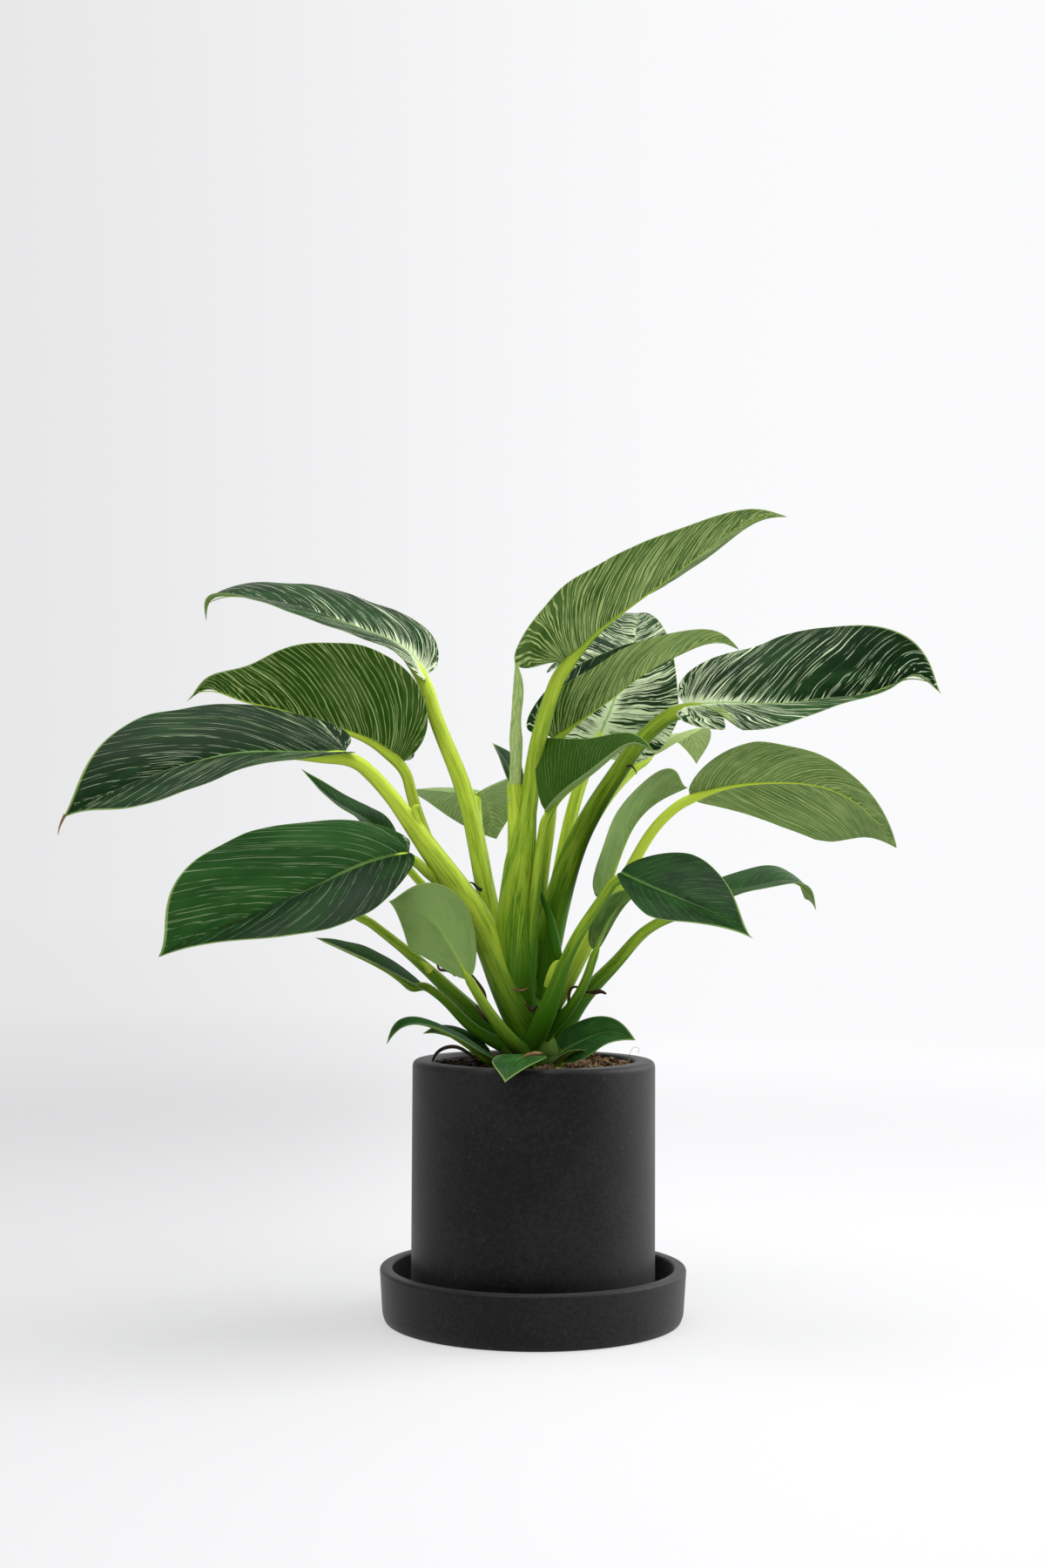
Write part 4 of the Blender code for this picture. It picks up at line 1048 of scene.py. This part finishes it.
@dataclass
class Blade:
    """The surface of one leaf blade, bent from a flat pattern along its midrib."""

    shape: LeafShape
    seed: float
    rows: int = 110
    columns: int = 22
    thick: float = 0.5
    ripple: float = 0.5
    groove: float = 0.45
    groove_width: float = 1.6
    swelling: float = 0.12
    vein_count: float = 17.0
    notch_place: float = 0.12
    notch_width: float = 0.016
    stations: int = 80

    def __post_init__(self) -> None:
        """Lay out the midrib once, with its direction averaged over a quarter of its length."""
        self.path, self.length = spline(self.shape.rib, self.stations)
        self.along = np.linspace(0, self.length, self.stations)
        ahead, reach = unit(np.gradient(self.path, axis=0)), self.stations // 8
        padded = np.concatenate([np.repeat(ahead[:1], reach, 0), ahead, np.repeat(ahead[-1:], reach, 0)])
        self.ahead = unit(averaged(padded, 2 * reach + 1))
        heading = unit((self.path[-1] - self.path[0]) * [1, 1, 0])
        self.side = np.cross([0, 0, 1.0], heading)

    def outline(self, i: int) -> tuple[Array, Array]:
        """Edge of a flat half from the back of its lobe to the tip: two cubic curves that meet at the belly.

        Args:
            i: 0 for the left half, 1 for the right.

        Returns:
            Points along and across the blade, and each point's share of the edge's length.
        """
        s, length, half = self.shape, self.length, self.shape.half[i]
        lobe, belly, base, count = s.lobe[i], s.belly[i], s.base[i], self.stations
        back = np.array([-0.6 * lobe * length, (0.08 + 1.5 * lobe) * half])
        wide, end = np.array([belly * length, half]), np.array([length, 0.0])
        first = bezier(back, np.array([-1.9 * lobe * length, (0.65 - 0.45 * base) * half]),
                       np.array([base * belly * length - 0.3 * lobe * length, half]), wide, count)
        second = bezier(wide, wide + [s.full[i] * length, 0.0],
                        np.array([0.90 * length, s.tip[i] * half]), end, count)
        edge = np.concatenate([first, second[1:]])
        off = (edge[:, 0] / length - self.notch_place) / self.notch_width
        edge[:, 1] *= 1 - s.notch[i] * np.exp(-off ** 2)
        share = distances(edge)
        return edge, share / share[-1]

    def flat(self, i: int) -> tuple[Array, Array, Array]:
        """Flat pattern of a half: each row follows a side vein, forward and outward to the edge.

        Row q of 0 to 1 starts at q to the power spring of the midrib and ends at q of the edge. Its vein
        number is q to the power 1.6. Between its ends it is a quadratic curve that leans to the tip.

        Args:
            i: 0 for the left half, 1 for the right.

        Returns:
            Distance along, distance across, and the vein number of each row.
        """
        edge, share = self.outline(i)
        q = np.linspace(0, 1, self.rows)
        outer = at_places(q, share, edge)
        inner = np.stack([q ** self.shape.spring[i] * self.length, 0 * q], 1)
        middle = inner + np.stack([0.38 * (outer[:, 0] - inner[:, 0]), 0.62 * outer[:, 1]], 1)
        v = np.linspace(0, 1, self.columns + 1)[None, :, None]
        grid = (1 - v) ** 2 * inner[:, None] + 2 * v * (1 - v) * middle[:, None] + v ** 2 * outer[:, None]
        return grid[..., 0], grid[..., 1], q ** 1.6

    def bend(self, i: int, x: Array, y: Array) -> Array:
        """Carry flat points onto the bent blade.

        The point leaves the midrib at the fold angle and turns by the curl over the half width, so it lies
        (sin(f + b y) - sin f) / b out and (cos f - cos(f + b y)) / b up, in the frame turned by the roll.
        Waves along the edge are added as the square of the share of the half width.

        Args:
            i: 0 for the left half, 1 for the right.
            x: Distance along.
            y: Distance across.

        Returns:
            Points in space.
        """
        s, half = self.shape, self.shape.half[i]
        u = np.clip(x / self.length, 0, 1)
        centre = at_places(x, self.along, self.path) + np.minimum(x, 0)[..., None] * self.ahead[0]
        tangent = unit(at_places(x, self.along, self.ahead))
        up = unit(np.cross(tangent, np.broadcast_to(self.side, tangent.shape)))
        roll = np.radians(spread(s.roll, u))[..., None]
        normal = up * np.cos(roll) + np.cross(up, tangent) * np.sin(roll)
        left = np.cross(normal, tangent)
        fold = np.radians(spread(s.right_fold if i and s.right_fold else s.fold, u))
        curl = np.radians(spread(s.curl, u)) / half
        out = (np.sin(fold + curl * y) - np.sin(fold)) / curl
        rise = (np.cos(fold) - np.cos(fold + curl * y)) / curl
        share = y / half
        rise = rise + s.wave[i] * share ** 2 * np.sin(2 * math.pi * 3 * x / self.length + 2.1 * i)
        rough = np.sin(x * 0.115 + 9 * self.seed + 2 * i) + 0.6 * np.sin(x * 0.21 + 23 * self.seed + i)
        rise = rise + self.ripple * share ** 3 * rough * (1 - smooth_step(u, 0.75, 1.0))
        return centre + (1 - 2 * i) * left * out[..., None] + normal * rise[..., None]

    def halves(self) -> tuple[Array, Array, Array, Array, Array, Array]:
        """Both halves side by side, from the left edge over the midrib to the right edge.

        Returns:
            Points, vein number, signed share across, distance from the midrib, distance from the edge
            and share along, all by row and column.
        """
        tables = []
        for i in (0, 1):
            x, y, t = self.flat(i)
            points = self.bend(i, x, y)
            v = np.linspace(0, 1, self.columns + 1)[None] * np.ones_like(x)
            step = np.linalg.norm(np.diff(np.stack([x, y], -1), axis=1), axis=-1)
            reach = np.concatenate([np.zeros((self.rows, 1)), np.cumsum(step, axis=1)], axis=1)
            lean = np.clip(y[:, -1:] / np.maximum(reach[:, -1:], 1e-6), 0.25, 1)
            sheet = np.stack([np.broadcast_to(t[:, None], x.shape), (2 * i - 1) * v, y,
                              (reach[:, -1:] - reach) * lean, np.clip(x / self.length, 0, 1)], -1)
            tables.append(np.concatenate([points, sheet], -1))
        both = np.concatenate([tables[0][:, :0:-1], tables[1]], axis=1)
        return both[..., :3], *np.moveaxis(both[..., 3:], -1, 0)

    def relief(self, t: Array, v: Array) -> Array:
        """Height of the swellings between veins: a raised cosine of the vein number, least at rib and edge."""
        wave = 0.5 - 0.5 * np.cos(2 * math.pi * (t * self.vein_count))
        return self.swelling * wave * np.abs(v) ** 0.5 * (1 - np.abs(v) ** 3)

    def build(self, finishes: Finishes) -> Piece:
        """Make the closed blade: upper face, lower face one thickness below, and the rim.

        A bell curve about the midrib, fading to the tip, is pressed into the upper face and added to the
        thickness. The lower face's tone may darken from the tip towards the base as painted shade.

        Args:
            finishes: The materials.

        Returns:
            The new object.
        """
        s, columns, rows = self.shape, self.columns, self.rows
        top, t, v, rib, edge, along = self.halves()
        normal = unit(np.cross(np.gradient(top, axis=1), np.gradient(top, axis=0)))
        hint = np.cross(top[3, columns] - top[2, columns], top[3, columns - 1] - top[3, columns + 1])
        if np.dot(normal[3, columns], hint) < 0:
            normal = -normal
        groove = self.groove * np.exp(-(rib / self.groove_width) ** 2) * (1 - along)
        top = top + normal * (self.relief(t, v) - groove)[..., None]
        thick = self.thick * (0.6 + 0.4 * smooth_step(edge, 0.0, 3.0)) + groove
        bottom = top - normal * thick[..., None]
        wide = 2 * columns + 1
        body, end = (rows - 1) * wide, (rows - 2) * wide
        points = np.concatenate([top[:-1].reshape(-1, 3), bottom[:-1].reshape(-1, 3), top[-1:, columns]])
        upper = grid_faces(rows - 1, wide)
        j, i, tip = np.arange(wide - 1), np.arange(rows - 2) * wide, np.full(wide - 1, 2 * body)
        upper_tip = np.stack([end + j, end + j + 1, tip], -1)
        lower_tip = np.stack([body + end + j + 1, body + end + j, tip], -1)
        neck = np.stack([j + 1, j, body + j, body + j + 1], -1)
        left = np.stack([i, i + wide, body + i + wide, body + i], -1)
        right = np.stack([i + wide, i, body + i, body + i + wide], -1) + wide - 1
        corners = np.array([[end, 2 * body, body + end], [2 * body, end + wide - 1, body + end + wide - 1]])

        def both(values: Array) -> Array:
            """The same numbers for the upper and the lower face, and the tip's."""
            flat = values[:-1].reshape(-1)
            return np.concatenate([flat, flat, values[-1:, columns]])

        def on_right(values: tuple[float, float]) -> Array:
            """The whole blade's number, or the right half's own on the right where it has one."""
            return np.where((both(v) > 0) & (values[1] >= 0), values[1], values[0])

        vein = np.stack([both(t), both(v), np.full(len(points), self.seed)], -1)
        reach = np.stack([both(rib), both(edge), both(along)], -1)
        look = np.stack([on_right((s.tone, s.right_tone)), on_right((s.cream, s.right_cream)),
                         np.full(len(points), s.fan)], -1)
        # Painted shade: the lower face's tone darkens from the tip towards the base
        under = s.under * (1 - s.under_painted_shade * (1 - smooth_step(both(along), 0.12, 0.75)))
        look[body:2 * body, 0] = under[body:2 * body]
        return make_piece(s.name + "_blade", points,
                          [upper, neck, left, right, upper[:, ::-1] + body, upper_tip, corners, lower_tip],
                          [finishes.under if s.pale else finishes.upper, finishes.under], s.slot,
                          slots=[0, 0, 0, 0, 1, 0, 0, 1],
                          marks={"vein": vein, "reach": reach, "look": look}, crease=55)

    def rib_route(self, share: float, drop: Array) -> Array:
        """The keel of the midrib under the blade.

        Args:
            share: Share of the length that the keel reaches.
            drop: How far its middle lies under the upper face at each station.

        Returns:
            Stations of the keel.
        """
        x = np.linspace(0, share * self.length, len(drop))
        zero = np.zeros_like(x)
        middle = self.bend(0, x, zero)
        left, right = self.bend(0, x, zero + 1.5), self.bend(1, x, zero + 1.5)
        tangent = unit(np.gradient(middle, axis=0))
        normal = unit(np.cross(tangent, unit(left - right)))
        return middle - normal * drop[:, None]


@dataclass
class Petiole:
    """The stalk of one leaf, running on as the keel of its midrib."""

    blade: Blade
    sides: int = 28
    stations: int = 160
    overlap: float = 3.0
    keel_share: float = 0.93
    channel: float = 0.13
    foot_painted_shade_heights: tuple[float, float] = (160.0, 245.0)

    def build(self, finishes: Finishes) -> Piece:
        """Make the stalk and keel as one tube with a shallow channel on its upper side.

        The radius is 1 - channel * bell, where the bell curve stands about the upper side. The keel's
        radius falls off as an exponential of the share of its length, with a slow bulge added.

        Args:
            finishes: The materials.

        Returns:
            The new object.
        """
        s = self.blade.shape
        x, y, z = s.rib[0]
        fine, length = spline((*s.stalk, (x, y, z + s.neck_rise)), self.stations)
        along = np.linspace(0, length, self.stations)
        radius = np.interp(along, np.linspace(0, length, len(s.radii)), s.radii)
        keep = along < length - self.overlap
        share, end = np.linspace(0, 1, 60), s.radii[-1]
        bulge = 0.3 * end * s.keel * (1 - share) * share ** 0.3
        keel_radius = end * np.exp((12 * s.keel - 17.5) * share) + bulge + 0.1 + 0.15 * s.keel
        keel = self.blade.rib_route(self.keel_share, keel_radius + 0.05 + 0.5 * (1 - share))
        path = np.concatenate([fine[keep], keel[2:]])
        radii = np.concatenate([radius[keep], keel_radius[2:]])
        step = distances(path)
        even = np.linspace(0, step[-1], 200)
        path, radii = at_places(even, step, path), np.interp(even, step, radii)
        path = averaged(np.concatenate([2 * path[:1] - path[6:0:-1], path, 2 * path[-1:] - path[-2:-8:-1]]), 13)
        turn = circle(self.sides)
        away = np.minimum(turn, 2 * math.pi - turn)
        grow = smooth_step(even / length, 0.0, 0.35) * (1 - smooth_step(even / length, 0.9, 1.0))
        profile = 1 - self.channel * grow[:, None] * np.exp(-(away / 0.5) ** 2)[None]
        hint = np.array([-0.35 * np.sign(path[-1, 0] - path[0, 0]), -0.25, 1.0])
        points, faces, marks = tube(path, radii, self.sides, hint, profile)
        # Painted shade: towards its foot, where the leaves shade the crowded bases, the stalk darkens and turns
        # to the dark base colour
        low = 1 - smooth_step(points[:, 2], *self.foot_painted_shade_heights)
        high = np.clip(marks["stalk"][:, 2] / length, 0, 1)
        # Painted shade: the stalk's side facing away from the hint, its underside, is darker
        lower = 0.45 * smooth_step(-marks["stalk"][:, 0], 0.1, 1.0)
        tone = s.stalk_tone - 0.08 + 0.7 * (1 - high) ** 1.5 + lower
        marks["look"] = np.stack([tone, low * 0.75, 0 * low], -1)
        return make_piece(s.name + "_petiole", points, faces, [finishes.stalk], s.slot, marks=marks)


@dataclass
class Clump:
    """The whole plant."""

    finishes: Finishes
    stem: Route = ((-3, 2, 121), (-3, 2, 150), (-2, 2, 190), (1, 2, 217))
    stem_radii: tuple[float, ...] = (19, 17, 9, 6)
    scars: tuple[float, ...] = (0.3, 0.42, 0.55, 0.66, 0.78, 0.9)
    scar_width: float = 0.012
    scar_depth: float = 0.7
    stem_foot_painted_shade: tuple[float, float] = (140.0, 175.0)
    spear_sheath: Route = ((-6, -8, 200), (-9, -14, 236), (-10, -14, 276), (-12.2, -15, 306))
    spear_sheath_radii: tuple[float, ...] = (6, 6.5, 6, 4.2)
    spear: Route = ((-12.3, -15, 296), (-11.2, -15, 326), (-11.4, -15, 341), (-10.3, -15, 356),
                    (-10.2, -15, 367), (-11.8, -15, 380))
    spear_radii: tuple[float, ...] = (3.7, 3.8, 3.8, 3.8, 3.7, 3.9, 4.1, 3.5, 3.1, 3.2, 3.4, 3.2, 2.4, 1.1, 0.2)
    spear_sides: int = 48
    small_blade: float = 100.0
    seed_step: float = 0.317

    def build_leaves(self) -> int:
        """Make each leaf's blade and petiole in place of its node, with fewer rows where it is small.

        Returns:
            Number of leaves.
        """
        for k, shape in enumerate(LEAVES):
            blade = Blade(shape, 0.13 + self.seed_step * k % 1.0)
            if blade.length < self.small_blade:
                blade.rows, blade.columns = 70, 14
            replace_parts(blade.build(self.finishes), shape.name)
            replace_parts(Petiole(blade).build(self.finishes), "crown")
        return len(LEAVES)

    def build_shoots(self) -> int:
        """Make the small shoots out of the soil.

        Returns:
            Number of shoots.
        """
        for k, shape in enumerate(SHOOTS):
            blade = Blade(shape, 0.41 + 0.271 * k % 1.0, rows=60, columns=12, thick=0.45)
            node = "shoot_right" if shape.name == "shoot_right_low" else shape.name
            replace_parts(blade.build(self.finishes), node)
            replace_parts(Petiole(blade, sides=16).build(self.finishes), node)
        return len(SHOOTS)

    def build_stem(self) -> None:
        """Make the stem with ring scars: the radius dips by a narrow bell at each scar."""
        path, _ = spline(self.stem, 120)
        share = np.linspace(0, 1, 120)
        dips = sum(np.exp(-((share - c) / self.scar_width) ** 2) for c in self.scars)
        points, faces, marks = tube(path, spread(self.stem_radii, share) - self.scar_depth * dips, 40)
        # Painted shade: the stem turns to the dark base colour towards its foot, among the stalks' bases
        low = 1 - smooth_step(points[:, 2], *self.stem_foot_painted_shade)
        marks["look"] = np.stack([np.zeros(len(points)), low, low], -1)
        item = make_piece("stem", points, faces, [self.finishes.stem], "stalk_green", marks=marks)
        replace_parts(item, "crown")

    def build_trim(self) -> int:
        """Make the small dry and green bits: each a tapered tube along its own route.

        Returns:
            Number of bits.
        """
        for trim, bits in BITS.items():
            finish = {Trim.DRY: self.finishes.dry, Trim.ROOT: self.finishes.root}.get(trim, self.finishes.stalk)
            look = [1.0, 0.75, 0.0] if trim is Trim.BRACT else [0.0, 0.0, 0.0]
            batch = Batch()
            for bit in bits:
                path, _ = spline(bit.route, 26)
                points, faces, marks = tube(path, spread(bit.radii, np.linspace(0, 1, 26)), 12)
                batch.add(points, faces, marks | {"look": np.tile(look, (len(points), 1))})
            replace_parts(batch.piece(trim.value, finish, "stalk_green"), "crown")
        return sum(len(bits) for bits in BITS.values())

    def build_spear(self) -> None:
        """Make the rolled leaf, whose wall steps in where its edge laps over, and the sheath round its foot."""
        path, _ = spline(self.spear, 90)
        share, full_turn = np.linspace(0, 1, 90), 2 * math.pi
        lap = 2.2 + 1.6 * share[:, None]
        profile = 1.04 - 0.20 * np.mod(circle(self.spear_sides)[None] - lap, full_turn) / full_turn
        points, faces, marks = tube(path, spread(self.spear_radii, share), self.spear_sides, profile=profile)
        cosine, sine, along = marks["stalk"].T
        angle = np.mod(np.arctan2(sine, cosine), full_turn) / full_turn
        one = np.ones(len(points))
        marks = {"vein": np.stack([0.2 + 0.5 * angle, 0.5 * one, along / 90], -1),
                 "reach": np.stack([12.0 * one, 9.0 * one, along / 90], -1),
                 "look": np.stack([one, 2.2 * one, 0.7 * one], -1)}
        item = make_piece("rolled_leaf", points, faces, [self.finishes.under], "leaf_pale", marks=marks)
        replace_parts(item, "new_leaf_spear")
        path, _ = spline(self.spear_sheath, 80)
        points, faces, marks = tube(path, spread(self.spear_sheath_radii, np.linspace(0, 1, 80)), 32)
        marks["look"] = np.zeros((len(points), 3))
        item = make_piece("rolled_leaf_sheath", points, faces, [self.finishes.stalk], "stalk_green",
                          marks=marks)
        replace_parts(item, "crown")


@dataclass
class PottingMix:
    """Soil with bark chips and fibres on top."""

    finishes: Finishes
    radius: float = 57.7
    top: float = 144.4
    bottom: float = 16.6
    chips: int = 620
    fibres: int = 90

    def lump(self, x: Array, y: Array) -> Array:
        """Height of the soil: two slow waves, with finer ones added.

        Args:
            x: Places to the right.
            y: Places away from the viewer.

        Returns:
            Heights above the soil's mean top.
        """
        slow = np.sin(0.21 * x + 1.3) * np.cos(0.17 * y - 0.4) + 0.5 * np.sin(0.4 * x - 0.33 * y)
        fine = 0.35 * np.sin(0.9 * x + 0.4 * y) * np.sin(0.8 * y - 0.3 * x)
        finest = 0.25 * np.sin(1.7 * x) * np.sin(1.5 * y)
        return 1.1 * slow + (fine + finest)

    def build_bed(self) -> None:
        """Make the bed: rings of the lumpy top, a plain side and a flat underside."""
        segments, count = 160, 44
        radii = np.linspace(0.4, self.radius, count)
        x, y = radii[:, None] * np.cos(circle(segments)), radii[:, None] * np.sin(circle(segments))
        z = self.top + self.lump(x, y) * (1 - 0.6 * smooth_step(radii, 50.0, self.radius))[:, None]
        low = np.stack([x[-1], y[-1], np.full(segments, self.bottom)], -1)
        points = np.concatenate([np.stack([x, y, z], -1).reshape(-1, 3), low,
                                 [[0, 0, z[0].mean()], [0, 0, self.bottom]]])
        last, base, k = (count - 1) * segments, count * segments, np.arange(segments)
        m = (k + 1) % segments
        wall = np.stack([last + k, base + k, base + m, last + m], -1)
        caps = np.concatenate([fan(base + segments, k, m), fan(base + segments + 1, base + m, base + k)])
        faces = [np.concatenate([grid_faces(count, segments, wrap=True)[:, ::-1], wall]), caps]
        item = make_piece("soil_bed", points, faces, [self.finishes.soil], "potting_mix", crease=60)
        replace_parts(item, "soil")

    def scatter(self, rng: np.random.Generator, count: int, inner: float) -> tuple[Array, Array]:
        """Even random places on the soil's disc, off the stem.

        Args:
            rng: The seeded generator.
            count: Number of places.
            inner: Radius round the stem that is left free.

        Returns:
            The x and y of each place.
        """
        r = np.sqrt(rng.uniform(inner ** 2, (self.radius - 3.0) ** 2, count))
        a = rng.uniform(0, 2 * math.pi, count)
        return r * np.cos(a), r * np.sin(a)

    def build_chips(self) -> None:
        """Scatter chips: an eight-cornered block with jittered corners, turned about Z and tilted about Y."""
        rng, count = np.random.default_rng(7), self.chips
        x, y = self.scatter(rng, count, 16.0)
        size = rng.uniform(0.7, 2.4, count)[:, None]
        size = size * rng.uniform([0.9, 0.5, 0.25], [1.9, 1.0, 0.6], (count, 3))
        signs = np.array([[a, b, c] for c in (-1, 1) for b in (-1, 1) for a in (-1, 1)], float)
        corners = signs[None] * size[:, None] * rng.uniform(0.6, 1.1, (count, 8, 1))
        yaw, tilt = rng.uniform(0, 2 * math.pi, count), rng.uniform(-0.6, 0.6, count)
        cy, sy, ct, st = np.cos(yaw), np.sin(yaw), np.cos(tilt), np.sin(tilt)
        zero, one = np.zeros(count), np.ones(count)
        spin = np.stack([cy, -sy, zero, sy, cy, zero, zero, zero, one], -1).reshape(-1, 3, 3)
        lean = np.stack([ct, zero, st, zero, one, zero, -st, zero, ct], -1).reshape(-1, 3, 3)
        z = self.top + self.lump(x, y) + rng.uniform(0.0, 1.2, count)
        placed = np.einsum("nij,njk,nck->nci", spin, lean, corners) + np.stack([x, y, z], -1)[:, None]
        quads = np.array([[0, 2, 3, 1], [4, 5, 7, 6], [0, 1, 5, 4], [2, 6, 7, 3], [0, 4, 6, 2], [1, 3, 7, 5]])
        faces = (quads[None] + 8 * np.arange(count)[:, None, None]).reshape(-1, 4)
        item = make_piece("bark_chips", placed.reshape(-1, 3), [faces], [self.finishes.bark], "potting_mix",
                          crease=30)
        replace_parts(item, "soil")

    def build_fibres(self) -> None:
        """Scatter thin bent fibres, each a short arc of a slim tube."""
        rng, count, batch = np.random.default_rng(11), self.fibres, Batch()
        x, y = self.scatter(rng, count, 18.0)
        turns, spans = rng.uniform(0, 6.3, count), rng.uniform(4, 11, count)
        bows = rng.uniform(-2.5, 2.5, count)
        u, radii = np.linspace(-1, 1, 7), np.array([0.08, 0.16, 0.2, 0.22, 0.2, 0.16, 0.08])
        for px, py, turn, span, bow in zip(x, y, turns, spans, bows):
            ahead, side, rise = u * span / 2, bow * (1 - u ** 2), 0.6 + 0.8 * (1 - u ** 2)
            c, s = math.cos(turn), math.sin(turn)
            path = np.stack([px + c * ahead - s * side, py + s * ahead + c * side, rise], -1)
            path[:, :2] *= np.minimum(1, (self.radius - 0.8) / np.hypot(path[:, 0], path[:, 1]))[:, None]
            path[:, 2] += self.top + self.lump(path[:, 0], path[:, 1])
            points, faces, _ = tube(path, radii, 5, np.array([0, 0, 1.0]))
            batch.add(points, faces)
        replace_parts(batch.piece("coco_fibres", self.finishes.bark, "potting_mix"), "soil")


@dataclass
class Planter:
    """The cylindrical pot and its saucer."""

    finishes: Finishes
    radius: float = 70.0
    wall: float = 12.0
    top: float = 148.0
    foot: float = 8.3
    floor: float = 8.0
    drain: float = 6.0
    saucer_radius: float = 88.0
    saucer_foot: float = 84.6
    saucer_top: float = 30.4
    saucer_wall: float = 7.3
    saucer_middle: float = 0.5
    segments: int = 192

    def build_pot(self) -> None:
        """Turn the pot's outline about the upright axis."""
        inner, floor = self.radius - self.wall, self.foot + self.floor
        corners = [(self.drain, self.foot, 0.6), (self.radius, self.foot, 2.6), (self.radius, self.top, 4.2),
                   (inner, self.top, 2.6), (inner, floor, 2.0), (self.drain, floor, 0.6)]
        points, faces = revolved(rounded(corners, 9), self.segments)
        item = make_piece("pot_body", points, faces, [self.finishes.pot], "pot_ceramic", crease=60)
        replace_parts(item, "pot")

    def build_saucer(self) -> None:
        """Turn the saucer's outline about the upright axis, with a small flat cap closing its middle."""
        inner, count = self.saucer_radius - self.saucer_wall, self.segments
        corners = [(self.saucer_middle, 0.0, 0.1), (self.saucer_foot, 0.0, 1.4),
                   (self.saucer_foot + 1.6, 4.0, 2.0), (self.saucer_radius, self.saucer_top, 2.4),
                   (inner, self.saucer_top, 1.8),
                   (inner - 0.8, self.floor, 3.2), (self.saucer_middle, self.floor, 0.1)]
        points, faces = revolved(rounded(corners, 9), count)
        k, high, apex = np.arange(count), len(points) - count, len(points)
        m = (k + 1) % count
        caps = np.concatenate([fan(apex, m, k), fan(apex + 1, high + k, high + m)])
        points = np.concatenate([points, [[0, 0, points[0, 2]], [0, 0, points[high, 2]]]])
        item = make_piece("saucer_body", points, [faces[0][:-count], caps], [self.finishes.pot],
                          "saucer_ceramic", crease=60)
        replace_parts(item, "saucer")


@dataclass(frozen=True)
class Lamp:
    """A square soft lamp: its place and aim and its side in metres, and its power in watts."""

    name: str
    place: Point
    aim: Point
    side: float
    power: float

    def hang(self) -> None:
        """Make the light and turn it to its aim."""
        data = bpy.data.lights.new(self.name, "AREA")
        data.shape, data.size, data.energy = "SQUARE", self.side, self.power
        item = bpy.data.objects.new(self.name, data)
        back = unit(np.array(self.place) - np.array(self.aim))
        item.location = self.place
        item.rotation_euler = (math.acos(back[2]), 0, math.atan2(back[0], -back[1]))
        bpy.context.scene.collection.objects.link(item)


@dataclass
class Studio:
    """Floor, soft lights and the camera at the photograph's angle."""

    finishes: Finishes
    place: Point = (-7.0, -1175.0, 250.0)
    pitch: float = 2.78
    roll: float = -0.25
    lens: float = 46.46
    lamps: tuple[Lamp, ...] = (Lamp("window_right", (1.9, 0.5, 1.3), (0, 0, 0.22), 1.6, 42.0),
                               Lamp("softbox_above", (-0.3, -0.1, 2.2), (0, 0, 0.2), 1.4, 30.0),
                               Lamp("front_fill", (-0.9, -1.9, 1.5), (0, 0, 0.3), 1.6, 15.0))
    floor_radii: tuple[float, ...] = (0.0001, 300.0, 900.0, 3000.0, 12000.0)
    front_light: float = 0.16
    side_light: tuple[float, float] = (0.45, 1.3)

    def build_floor(self) -> None:
        """Lay a wide round floor whose top is the height that the saucer stands on."""
        segments, radii = 96, np.array(self.floor_radii)
        faces = [grid_faces(len(radii), segments, wrap=True)]
        item = make_piece("floor", rings(radii, 0 * radii, segments), faces, [self.finishes.floor], "")

    def build_camera(self) -> None:
        """Place the camera: it looks along Y, pitched up a little."""
        data = bpy.data.cameras.new("view_camera")
        data.sensor_width, data.lens = 36.0, self.lens
        data.clip_start, data.clip_end = 0.05, 50.0
        item = bpy.data.objects.new("view_camera", data)
        item.location = tuple(c * MM for c in self.place)
        item.rotation_mode = "XYZ"
        item.rotation_euler = (math.radians(90 + self.pitch), math.radians(self.roll), 0)
        bpy.context.scene.collection.objects.link(item)
        bpy.context.scene.camera = item

    def build_light(self) -> None:
        """Light from the right and above, with a bright surround behind and a dimmer one in front."""
        for lamp in self.lamps:
            lamp.hang()
        world = bpy.data.worlds.new("studio")
        bpy.context.scene.world = world
        world.use_nodes = True
        g = Graph(world.node_tree)
        world.node_tree.nodes.clear()
        way = g.add("ShaderNodeTexCoord").outputs["Generated"]
        seen = g.group(self.finishes.groups.backdrop, {"Way": way})["Level"]
        x, y, z = g.split(way)
        depth = g.span(g.line(z, 0.6, y), -0.9, 0.7, self.front_light, 1.0)
        lit = g.times(depth, g.span(x, -1.0, 0.9, *self.side_light))
        camera_ray = g.add("ShaderNodeLightPath").outputs["Is Camera Ray"]
        strength = g.add("ShaderNodeMix", {"Factor": camera_ray, 2: lit, 3: seen}, data_type="FLOAT").outputs[0]
        back = g.add("ShaderNodeBackground", {"Color": PALE, "Strength": strength})
        out = g.add("ShaderNodeOutputWorld", {"Surface": back.outputs[0]})
        out.is_active_output = True
        bpy.context.scene.view_settings.view_transform = "Standard"


def main() -> None:
    """Build every sub-assembly in order and report each one."""
    logging.basicConfig(level=logging.INFO, format="%(message)s")
    finishes = Finishes()
    studio = Studio(finishes)
    studio.build_camera()
    studio.build_floor()
    studio.build_light()
    log.info("studio: camera, floor and lights")
    planter = Planter(finishes)
    planter.build_pot()
    planter.build_saucer()
    log.info("planter: pot and saucer")
    mix = PottingMix(finishes)
    mix.build_bed()
    mix.build_chips()
    mix.build_fibres()
    log.info("soil: bed, %d chips, %d fibres", mix.chips, mix.fibres)
    clump = Clump(finishes)
    log.info("leaves: %d", clump.build_leaves())
    log.info("shoots: %d", clump.build_shoots())
    clump.build_stem()
    clump.build_spear()
    log.info("stem, rolled leaf and %d small bits", clump.build_trim())


if __name__ == "__main__":
    main()
